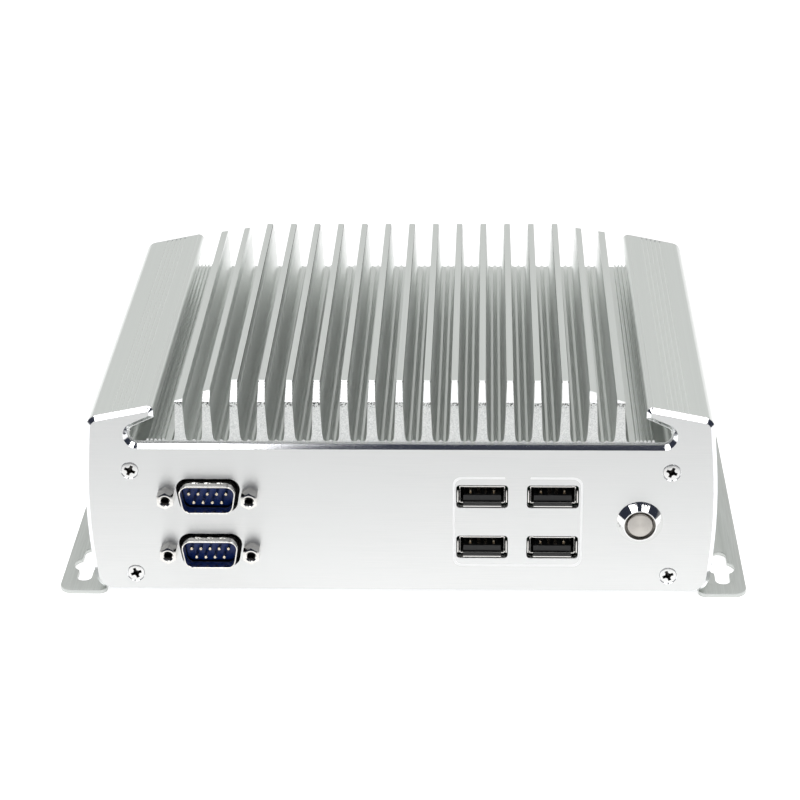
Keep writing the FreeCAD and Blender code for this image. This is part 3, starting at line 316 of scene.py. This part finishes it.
FINISHES = {
    "case_aluminium": extruded_aluminium(),
    "panel_aluminium": brushed_plate(),
    # Aluminium block, face milled: a bright metal with cutter lines.
    "block_aluminium": finish("milled_aluminium", ("BFC2C4", "D6D8DA"), (0.30, 0.45),
                              (0.4, (30, 1, 1))),
    # Cold rolled steel sheet, zinc plated: mid grey, with the mill's lines under a soft sheen.
    "sheet_steel": finish("zinc_plated_steel_sheet", ("C3C6C3", "D1D4D1"), (0.30, 0.40),
                          (0.3, (1, 60, 1))),
    # Steel screws, bright nickel plated over a slightly uneven forged head.
    "screw_steel": finish("nickel_plated_screw_steel", ("D5D5D4", "E6E6E5"), (0.16, 0.26), (0.25,)),
    # Drawn steel shell, bright nickel plated: almost a mirror, faintly warm.
    "nickel": finish("bright_nickel_plating", ("DAD8D4", "E9E7E3"), (0.10, 0.20), (0.6,)),
    # Stainless steel, turned and polished to a mirror; the groove round the cap takes a painted shade
    # and a duller gloss.
    "bezel_steel": finish("polished_stainless_steel", ("E9E9E8", "F2F2F1"), (0.05, 0.08), (0.6,), 0.001,
                          shade=groove_painted_shade, dark="A6A29C"),
    "cap_steel": turned_cap_steel(),
    # Drawn spring wire, oiled: darker than plated steel, with draw lines.
    "spring_steel": finish("drawn_spring_wire", ("8E8F90", "A8A9AA"), (0.25, 0.40), (0.2,)),
    # Stamped brass contacts with a thin flash of gold over nickel: pale warm metal.
    "brass": finish("gold_flashed_brass", ("CDBFA6", "E4DACA"), (0.16, 0.28), (0.3,)),
    # Turned brass, nickel plated: a warm grey with tool marks.
    "spacer_brass": finish("nickel_plated_brass", ("BDB7A6", "CFCABA"), (0.20, 0.35), (0.3,)),
    # Moulded blue polyamide of a plug's core: deep colour with a soft gloss.
    "blue_plastic": finish("blue_polyamide", ("062A72", "0A3890"), (0.24, 0.34), (0.35,), 0.01, 0.0,
                           IOR=1.45),
    # Moulded black polyamide: near black, with a spark-eroded grain.
    "black_plastic": finish("black_polyamide", ("08090A", "121314"), (0.35, 0.50), (0.3,), 0.01, 0.0),
    # Glass fibre laminate under green solder mask: the copper below gives soft lighter lines.
    "circuit_board": finish("green_solder_mask", ("0D3F24", "17603A"), (0.25, 0.40),
                            (0.9, (4, 1, 1)), 0.02, 0.0),
    # Pressed stainless cell can: clean and bright.
    "cell_steel": finish("pressed_stainless_can", ("C4C4C2", "D8D8D6"), (0.22, 0.35), (0.3,)),
    # Silicone thermal pad: soft, matt and grey blue.
    "pad_rubber": finish("grey_silicone_pad", ("7C8694", "8B95A3"), (0.70, 0.85), (0.5,), 0.02, 0.0),
    # Polyvinyl jacket of leads and ribbons: grey, with a faint sheen.
    "lead_plastic": finish("grey_vinyl_jacket", ("8E9195", "A0A3A7"), (0.45, 0.60), (0.4,), 0.01, 0.0),
}
# Screen-printed white ink: matt, slightly uneven where the plate shows through. A little painted light,
# a glow of its own, keeps it brighter than the plate round it, as ink that scatters the whole room's
# light is.
PRINT_INK = finish("white_screen_ink", ("F4F5F5", "FEFEFE"), (0.45, 0.60), (0.25,), 0.003, 0.0,
                   **{"Emission Color": (1, 1, 1, 1), "Emission Strength": 0.30})
# Painted shade inside the jackscrews' threads and the screws' recesses: a dark, duller steel.
RECESS_PAINTED_SHADE = finish("recess_painted_shade_steel", ("3A3937", "4A4846"), (0.35, 0.50), (0.2,))
# The nickel of the other shells, on the plugs, with painted shade and a duller gloss on their flanges
# behind the panels.
FRONT_SHELL = finish("nickel_front_shell", ("DAD8D4", "E9E7E3"), (0.08, 0.16), (0.8,), 0.002,
                     shade=behind(FRONT_FACE, -1))
REAR_SHELL = finish("nickel_rear_shell", ("DAD8D4", "E9E7E3"), (0.08, 0.16), (0.8,), 0.002,
                    shade=behind(REAR_FACE, 1))

# The sockets' shells: the same nickel, with painted shade and a duller gloss on the faces that lean
# upwards inside them.
SOCKET_SHELL = finish("nickel_socket_shell", ("DAD8D4", "E9E7E3"), (0.10, 0.20), (0.6,), 0.002,
                      shade=upward_painted_shade, dark="565656")

SLOT_OF = {entry["node"]: entry["material_slot"] for entry in frame["record"]["subparts"]}
for name, slot in SLOT_OF.items():
    mesh = nodes[name].data
    mesh.materials.clear()
    mesh.materials.append(FINISHES[slot])


# --- making pieces -----------------------------------------------------------------------------------
def finished(name, bm, slot, body="case", keep=(), sharp_deg=28.0, skins=()):
    """Turn a bmesh into a piece of the object that stands for the nodes in keep."""
    for edge in bm.edges:
        edge.smooth = len(edge.link_faces) == 2 and edge.calc_face_angle(0.0) < math.radians(sharp_deg)
    for face in bm.faces:
        face.smooth = True
    mesh = bpy.data.meshes.new(name)
    bm.to_mesh(mesh)
    bm.free()
    for skin in skins or [FINISHES[slot]]:
        mesh.materials.append(skin)
    piece = bpy.data.objects.new(name, mesh)
    bpy.context.scene.collection.objects.link(piece)
    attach(piece, body)
    if keep:
        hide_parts(*keep)


def welded(bm):
    """Join the vertices that share a place."""
    bmesh.ops.remove_doubles(bm, verts=bm.verts, dist=0.0005 * MM)


def merged(node):
    """A copy of a node's mesh with its triangles joined and flat faces whole."""
    bm = bmesh.new()
    bm.from_mesh(nodes[node].data)
    welded(bm)
    bmesh.ops.dissolve_limit(bm, angle_limit=math.radians(0.5), verts=bm.verts, edges=bm.edges)
    return bm


def eased(bm, width_mm, segments):
    """Break every edge that turns by over 40 degrees, by a small rounded width."""
    edges = [edge for edge in bm.edges
             if len(edge.link_faces) == 2 and edge.calc_face_angle(0.0) > math.radians(40)]
    bmesh.ops.bevel(bm, geom=edges, offset=width_mm * MM, offset_type="OFFSET", affect="EDGES",
                    segments=segments, profile=0.5, material=-1, clamp_overlap=True)


def turned(bm, profile, steps):
    """Spin a profile of (radius, z) points, in millimetres, about Z into a closed body."""
    verts = [bm.verts.new((radius * MM, 0, z * MM)) for radius, z in profile]
    edges = [bm.edges.new(pair) for pair in zip(verts, verts[1:])]
    bmesh.ops.spin(bm, geom=verts + edges, cent=(0, 0, 0), axis=(0, 0, 1), angle=2 * math.pi,
                   steps=steps, use_merge=True, use_duplicate=False)
    welded(bm)
    bmesh.ops.recalc_face_normals(bm, faces=bm.faces)


def spun(bm, verts, turn):
    """Turn vertices about the origin by a matrix."""
    bmesh.ops.rotate(bm, verts=verts, cent=(0, 0, 0), matrix=turn)


def pulled(bm, along):
    """Extrude every face of a bmesh by a vector."""
    made = bmesh.ops.extrude_face_region(bm, geom=list(bm.faces))["geom"]
    bmesh.ops.translate(bm, verts=[part for part in made if isinstance(part, bmesh.types.BMVert)],
                        vec=along)
    bmesh.ops.recalc_face_normals(bm, faces=bm.faces)


def bead(bm, centre, half, segments, rings):
    """A rounded bead, given by its centre and its half sizes."""
    verts = bmesh.ops.create_uvsphere(bm, u_segments=segments, v_segments=rings, radius=1.0)["verts"]
    bmesh.ops.scale(bm, verts=verts, vec=half)
    bmesh.ops.translate(bm, verts=verts, vec=centre)


def cut_by(name, body, tool, operation="DIFFERENCE"):
    """The first bmesh less the second, or what both share, as a mesh."""
    parts = []
    for bm in (body, tool):
        mesh = bpy.data.meshes.new(name)
        bm.to_mesh(mesh)
        bm.free()
        parts.append(bpy.data.objects.new(name, mesh))
        bpy.context.scene.collection.objects.link(parts[-1])
    knife = parts[0].modifiers.new("cut", "BOOLEAN")
    knife.operation = operation
    knife.solver = "EXACT"
    knife.use_self = True         # the blades of the cross recess overlap
    knife.object = parts[1]
    bpy.context.view_layer.update()
    worked_out = parts[0].evaluated_get(bpy.context.evaluated_depsgraph_get())
    result = bpy.data.meshes.new_from_object(worked_out)
    for part in parts:
        bpy.data.objects.remove(part)
    return result


def loose_parts(node):
    """Lowest and highest corner of each separate solid in a node."""
    bm = bmesh.new()
    bm.from_mesh(nodes[node].data)
    welded(bm)
    waiting = set(bm.verts)
    boxes = []
    while waiting:
        stack = [waiting.pop()]
        found = []
        while stack:
            vert = stack.pop()
            found.append(vert.co.copy())
            near = {edge.other_vert(vert) for edge in vert.link_edges} & waiting
            waiting -= near
            stack += near
        boxes.append([[pick(co[axis] for co in found) for axis in range(3)] for pick in (min, max)])
    bm.free()
    return sorted(boxes)


# --- case, panels, ears and shells -------------------------------------------------------------------
def ribbed_case():
    """The extruded case, with the fine ribs of its fins' flanks at their real pitch.

    Each coarse facet of a rib is divided at half the real pitch, and every second line is then moved
    in by the ribs' depth.
    """
    bm = merged("finned_case")
    step = RIB_PITCH / 2
    for face in list(bm.faces):
        heights = [vert.co.z for vert in face.verts]
        rise = max(heights) - min(heights)
        on_flank = (len(face.verts) == 4 and abs(face.normal.y) <= 0.01 and abs(face.normal.x) >= 0.7
                    and min(heights) >= TOOTH_START - step / 4)
        if on_flank and 0.8 * RIB_PITCH < rise < 4.0 * RIB_PITCH:
            ends = [edge for edge in face.edges
                    if abs(edge.verts[0].co.z - edge.verts[1].co.z) > rise / 2]
            bmesh.ops.subdivide_edges(bm, edges=ends, cuts=round(rise / step) - 1)
    for vert in bm.verts:
        middle = round(vert.co.x / FIN_PITCH) * FIN_PITCH
        count = round((vert.co.z - TOOTH_START) / step)
        level = TOOTH_START + count * step
        half = FIN_TIP_HALF + (CASE_TOP - level) * FIN_TAPER
        reach = abs(vert.co.x - middle)
        on_line = count >= 0 and abs(vert.co.z - level) < step / 3
        if on_line and half - 1.5 * RIB_DEPTH < reach < half + 0.02 * MM:
            depth = RIB_DEPTH if count % 2 else 0.0
            vert.co.x = middle + math.copysign(half - depth, vert.co.x - middle)
    finished("ribbed_case", bm, "case_aluminium", keep=["finned_case"], sharp_deg=20.0)


def dressed(node, width_mm, body="case", skins=(), segments=2, sharp_deg=28.0):
    """A node with its sharp edges broken."""
    bm = merged(node)
    if width_mm:
        eased(bm, width_mm, segments)
    finished(node + "_dressed", bm, SLOT_OF[node], body, [node], sharp_deg=sharp_deg, skins=skins)


ribbed_case()
for name in ("front_panel", "rear_panel"):
    dressed(name, 0)
for name in ("right_ear", "left_ear"):
    dressed(name, 0.2)
for name, skin in {"upper_serial_shell": FRONT_SHELL, "lower_serial_shell": FRONT_SHELL,
                   "vga_shell": REAR_SHELL}.items():
    dressed(name, 0.22, skins=[skin], segments=3)
for number in range(1, 5):
    dressed("front_usb_shell_%d" % number, 0.08, skins=[SOCKET_SHELL])
dressed("serial_pins", 0.32, segments=3)
dressed("button_bezel", 0.08, sharp_deg=12.0)
dressed("button_cap", 0.15, body="button")


# --- screws ------------------------------------------------------------------------------------------
def threaded(radius, start, stop, depth):
    """Profile points of a thread, drawn as closed rings at its pitch, from start down to stop."""
    turns = int((start - stop) / THREAD_PITCH)
    points = []
    for turn in range(turns):
        z = start - turn * THREAD_PITCH
        points += [(radius, z), (radius - depth, z - THREAD_PITCH / 2)]
    return points + [(radius, start - turns * THREAD_PITCH)]


def cross_screw(length):
    """A countersunk screw facing up at the origin: soft rim, threaded shank, tapered cross recess."""
    shank_r, tip_r = 1.46, 1.2
    head = [(0.0, 0.0), (2.30, 0.0), (2.42, -0.05), (2.47, -0.16), (2.42, -0.30), (shank_r, -1.26)]
    tip = [(tip_r, -length), (0.0, -length)]
    body = bmesh.new()
    turned(body, head + threaded(shank_r, -1.3, 0.35 - length, 0.22) + tip, 36)

    # The cutter: two crossed blades that narrow downwards, and a cone at their middle.
    sunk = (0, 0, -0.5 * MM)
    tool = bmesh.new()
    for turn in (0, 90):
        blade = bmesh.ops.create_cube(tool, size=2.0)["verts"]
        bmesh.ops.scale(tool, verts=blade, vec=(1.95 * MM, 0.52 * MM, 1.0 * MM))
        bmesh.ops.translate(tool, verts=blade, vec=sunk)
        low = [vert for vert in blade if vert.co.z < -MM]
        bmesh.ops.scale(tool, verts=low, vec=(0.42, 0.55, 1.0))
        spun(tool, blade, Matrix.Rotation(math.radians(turn), 3, "Z"))
    core = bmesh.ops.create_cone(tool, cap_ends=True, segments=16, radius1=0.35 * MM,
                                 radius2=1.15 * MM, depth=2.0 * MM)["verts"]
    bmesh.ops.translate(tool, verts=core, vec=sunk)
    screw = cut_by("cross_screw", body, tool)
    # Faces in the recess that look upwards take the second skin, a painted shade.
    for facet in screw.polygons:
        in_recess = facet.center.xy.length < 1.9 * MM and -2.0 * MM < facet.center.z < -0.02 * MM
        if in_recess and facet.normal.z > -0.1:
            facet.material_index = 1
    return screw


def set_screws(name, node, outwards):
    """A cross recessed screw in place of each plain one of a node, its head facing outwards."""
    aim = Vector(outwards)
    axis = max(range(3), key=lambda index: abs(aim[index]))
    boxes = loose_parts(node)
    screw = cross_screw((boxes[0][1][axis] - boxes[0][0][axis]) / MM)
    bm = bmesh.new()
    for index, (low, high) in enumerate(boxes):
        place = [(a + b) / 2 for a, b in zip(low, high)]
        place[axis] = high[axis] if aim[axis] > 0 else low[axis]
        start = len(bm.verts)
        bm.from_mesh(screw)
        bm.verts.ensure_lookup_table()
        own = bm.verts[start:]
        as_tightened = Matrix.Rotation(0.35 + 0.8 * index, 3, "Z")
        spun(bm, own, aim.to_track_quat("Z", "Y").to_matrix() @ as_tightened)
        bmesh.ops.translate(bm, verts=own, vec=place)
    finished(name, bm, "screw_steel", keep=[node], sharp_deg=30.0,
             skins=[FINISHES["screw_steel"], RECESS_PAINTED_SHADE])


def hollow_hexagon(proud):
    """The part of a jackscrew that shows, facing up at the origin and as tall as it stands proud."""
    corner = JACK_INRADIUS / math.cos(math.radians(30))
    hexagon = bmesh.new()
    ring = bmesh.ops.create_circle(hexagon, cap_ends=True, segments=6, radius=corner * MM)["verts"]
    spun(hexagon, ring, Matrix.Rotation(math.radians(30), 3, "Z"))
    pulled(hexagon, (0, 0, -proud * MM))

    # The lathe's profile: up the tapped hole, over the mouth, and down outside the turned corners.
    hole = [(1.66, 0.0), (1.30, -0.32)] + threaded(1.22, -0.37, 0.6 - proud, -0.2)
    outside = [(1.95, 0.0), (2.15, -0.06), (corner + 0.1, -0.42), (corner + 0.1, -proud), (0.0, -proud)]
    lathe = bmesh.new()
    turned(lathe, [(0.0, 0.5 - proud)] + hole[::-1] + outside, 48)
    body = cut_by("jackscrew", hexagon, lathe, "INTERSECT")
    # Faces deep in the tapped hole take the second skin, a painted shade.
    for facet in body.polygons:
        if facet.center.xy.length < 1.5 * MM and -proud * MM < facet.center.z < -0.25 * MM:
            facet.material_index = 1
    return body


def threaded_shank(length, below):
    """A jackscrew's shank, facing up, from below the origin down."""
    neck = [(0.0, 0.1), (1.36, 0.1)]
    tip = [(1.1, -length), (0.0, -length)]
    bm = bmesh.new()
    turned(bm, neck + threaded(1.38, -0.1, 0.3 - length, 0.2) + tip, 32)
    bmesh.ops.translate(bm, verts=bm.verts, vec=(0, 0, -below * MM))
    mesh = bpy.data.meshes.new("shank")
    bm.to_mesh(mesh)
    bm.free()
    return mesh


def tapped_jackscrews(name, node, outwards):
    """Hexagonal standoffs with turned corners, a countersunk mouth and a thread in the hole."""
    aim = Vector((0, outwards, 0)).to_track_quat("Z", "X").to_matrix()
    panel = FRONT_FACE if outwards < 0 else REAR_FACE
    bm = bmesh.new()
    for low, high in loose_parts(node):
        face, back = (low[1], high[1]) if outwards < 0 else (high[1], low[1])
        proud = abs(panel - face) / MM
        start = len(bm.verts)
        bm.from_mesh(hollow_hexagon(proud))
        bm.from_mesh(threaded_shank(abs(back - panel) / MM, proud))
        bm.verts.ensure_lookup_table()
        own = bm.verts[start:]
        spun(bm, own, aim)
        bmesh.ops.translate(bm, verts=own, vec=((low[0] + high[0]) / 2, face, (low[2] + high[2]) / 2))
    finished(name, bm, "nickel", keep=[node], sharp_deg=30.0,
             skins=[FINISHES["nickel"], RECESS_PAINTED_SHADE])


set_screws("front_cross_screws", "front_panel_screws", (0, -1, 0))
set_screws("rear_cross_screws", "rear_panel_screws", (0, 1, 0))
set_screws("cover_cross_screws", "cover_screws", (0, 0, -1))
set_screws("ear_cross_screws", "ear_screws", (0, 0, -1))
tapped_jackscrews("tapped_serial_jackscrews", "serial_jackscrews", -1)
tapped_jackscrews("tapped_vga_jackscrews", "vga_jackscrews", 1)


# --- small pieces ------------------------------------------------------------------------------------
def shell_dimples(name, node):
    """Three oval dimples pressed out along the top of a plug's shell, close to the panel."""
    low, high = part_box(node)
    spacing = 3.7 * MM
    bm = bmesh.new()
    for side in (-1, 0, 1):
        centre = ((low[0] + high[0]) / 2 + side * spacing, FRONT_FACE - 0.95 * MM,
                  high[2] - SHELL_RISE - 0.06 * MM)
        bead(bm, centre, (1.25 * MM, 0.66 * MM, 0.36 * MM), 20, 12)
    finished(name, bm, "nickel")


def printed_frame():
    """A thin white line printed round the four sockets, open at the middle of its top."""
    shells = [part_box("front_usb_shell_%d" % number) for number in range(1, 5)]
    left = min(low[0] for low, high in shells) - FRAME_LEFT
    right = max(high[0] for low, high in shells) + FRAME_RIGHT
    bottom = min(low[2] for low, high in shells) - FRAME_BELOW
    top = max(high[2] for low, high in shells) + FRAME_ABOVE
    middle = (left + right) / 2
    points = [(middle - FRAME_GAP, top)]
    for x, z, start in ((left + FRAME_CORNER, top - FRAME_CORNER, 90),
                        (left + FRAME_CORNER, bottom + FRAME_CORNER, 180),
                        (right - FRAME_CORNER, bottom + FRAME_CORNER, 270),
                        (right - FRAME_CORNER, top - FRAME_CORNER, 0)):
        for step in range(0, 91, 15):
            turn = math.radians(start + step)
            points.append((x + FRAME_CORNER * math.cos(turn), z + FRAME_CORNER * math.sin(turn)))
    points.append((middle + FRAME_GAP, top))
    bm = bmesh.new()
    verts = [bm.verts.new((x, FRONT_FACE - INK_PROUD, z)) for x, z in points]
    edges = [bm.edges.new(pair) for pair in zip(verts, verts[1:])]
    made = bmesh.ops.extrude_edge_only(bm, edges=edges)["geom"]
    inner = [part for part in made if isinstance(part, bmesh.types.BMVert)]
    centre = Vector((middle, 0, (bottom + top) / 2))
    shrink = (1 - FRAME_LINE / (right - centre.x), 1, 1 - FRAME_LINE / (top - centre.z))
    bmesh.ops.scale(bm, verts=inner, vec=shrink, space=Matrix.Translation(-centre))
    pulled(bm, (0, INK_DEPTH, 0))
    finished("printed_frame", bm, "panel_aluminium", skins=[PRINT_INK])


def contact_tips():
    """The rounded front ends of the two long supply contacts on each front tongue."""
    supply_offset, behind_mouth = 3.5 * MM, 3.6 * MM
    bm = bmesh.new()
    for number in range(1, 5):
        low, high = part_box("front_usb_shell_%d" % number)
        for side in (-1, 1):
            centre = ((low[0] + high[0]) / 2 + side * supply_offset, low[1] + behind_mouth,
                      (low[2] + high[2]) / 2)
            bead(bm, centre, (0.42 * MM, 0.50 * MM, 0.34 * MM), 16, 10)
    finished("contact_tips", bm, "brass")


shell_dimples("upper_shell_dimples", "upper_serial_shell")
shell_dimples("lower_shell_dimples", "lower_serial_shell")
printed_frame()
contact_tips()


# --- studio ------------------------------------------------------------------------------------------
def lamp(name, place, size, watts):
    """A flat soft lamp that faces straight down."""
    light = bpy.data.lights.new(name, "AREA")
    light.shape = "RECTANGLE"
    light.size, light.size_y = size
    light.energy = watts
    holder = bpy.data.objects.new(name, light)
    holder.location = place
    bpy.context.scene.collection.objects.link(holder)


def shown(tree):
    """Two sockets: 1 for what the eye meets directly, and 1 for that or what metal or glass shows.

    Both are 0 for light that only falls on the object.
    """
    seen = add(tree, "LightPath").outputs
    mirrored = add(tree, "Math", {0: seen["Is Glossy Ray"], 1: seen["Is Transmission Ray"]},
                   operation="MAXIMUM")
    either = add(tree, "Math", {0: seen["Is Camera Ray"], 1: mirrored.outputs[0]},
                 operation="MAXIMUM")
    return seen["Is Camera Ray"], either.outputs[0]


def room():
    """A white wall behind the object and a dim, bluish room before it, which polished metal mirrors."""
    world = bpy.data.worlds.new("room")
    bpy.context.scene.world = world
    world.use_nodes = True
    tree = world.node_tree
    tree.nodes.clear()
    direct, visible = shown(tree)
    direction = add(tree, "TexCoord")
    parts = add(tree, "SeparateXYZ", {"Vector": direction.outputs["Generated"]})
    wall = add(tree, "MapRange", {"Value": parts.outputs["Y"], "From Min": -0.12, "From Max": 0.10})
    white = add(tree, "Math", {0: wall.outputs["Result"], 1: direct}, operation="MAXIMUM").outputs[0]
    pale = add(tree, "Mix", {"Factor": direct, "A": linear("E2E3E2"), "B": linear("FFFFFF")},
               data_type="RGBA")
    colour = add(tree, "Mix", {"Factor": white, "A": linear("303440"), "B": pale.outputs[2]},
                 data_type="RGBA")
    fill = add(tree, "Background", {"Color": linear("F4F6F8"), "Strength": 0.38})
    backdrop = add(tree, "Background", {"Color": colour.outputs[2], "Strength": 1.0})
    mix = add(tree, "MixShader", {0: visible, 1: fill.outputs[0], 2: backdrop.outputs[0]})
    add(tree, "OutputWorld", {"Surface": mix.outputs[0]})


def paper_floor():
    """A pale paper floor. It shows white to the eye, and in metal it fades towards the dim room."""
    bm = bmesh.new()
    bmesh.ops.create_grid(bm, x_segments=1, y_segments=1, size=4.0)
    mesh = bpy.data.meshes.new("floor")
    bm.to_mesh(mesh)
    bm.free()
    floor = bpy.data.objects.new("floor", mesh)
    bpy.context.scene.collection.objects.link(floor)
    paper, tree = blank("floor_paper")
    direct, visible = shown(tree)
    place = add(tree, "TexCoord")
    parts = add(tree, "SeparateXYZ", {"Vector": place.outputs["Object"]})
    mirrored = add(tree, "MapRange", {"Value": parts.outputs["Y"], "From Min": -0.36, "To Min": 0.02,
                                      "From Max": -0.09, "To Max": 0.75})
    strength = add(tree, "Mix", {"Factor": direct, "A": mirrored.outputs["Result"], "B": 0.80})
    matt = add(tree, "BsdfDiffuse", {"Color": linear("C8C8C8")})
    glow = add(tree, "Emission", {"Color": linear("FFFFFF"), "Strength": strength.outputs[0]})
    dark = add(tree, "Emission", {"Color": linear("000000"), "Strength": 0.0})
    lift = add(tree, "MixShader", {0: visible, 1: dark.outputs[0], 2: glow.outputs[0]})
    both = add(tree, "AddShader", {0: matt.outputs[0], 1: lift.outputs[0]})
    add(tree, "OutputMaterial", {"Surface": both.outputs[0]})
    mesh.materials.append(paper)


def camera():
    """The camera: above, in front and a little to the right of the object."""
    made = bpy.data.cameras.new("camera")
    made.sensor_width = 36.0
    made.lens = CAMERA_LENS
    made.clip_start = 0.05
    made.clip_end = 30.0
    holder = bpy.data.objects.new("camera", made)
    yaw, pitch, roll = (math.radians(angle) for angle in CAMERA_TURN)
    ahead = Vector((math.sin(yaw) * math.cos(pitch), math.cos(yaw) * math.cos(pitch), -math.sin(pitch)))
    right = ahead.cross(Vector((0, 0, 1))).normalized()
    up = right.cross(ahead)
    side = right * math.cos(roll) + up * math.sin(roll)
    top = up * math.cos(roll) - right * math.sin(roll)
    turn = Matrix((side, top, -ahead)).transposed()
    holder.matrix_world = Matrix.Translation(CAMERA_PLACE) @ turn.to_4x4()
    bpy.context.scene.collection.objects.link(holder)
    bpy.context.scene.camera = holder


camera()
room()
paper_floor()
# The lamps leave a dark strip between left and right, which the polished chamfer mirrors, and one
# between front and rear, which the upper half of the button's bezel mirrors.
for name, x in LAMP_XS.items():
    lamp(name + "_front_lamp", (x, -0.64, LAMP_HEIGHT), (LAMP_WIDTH, 0.36), 3.5)
    lamp(name + "_rear_lamp", (x, -0.08, LAMP_HEIGHT), (LAMP_WIDTH, 0.38), 3.6)
bpy.context.scene.view_settings.view_transform = "Standard"
bpy.context.view_layer.update()
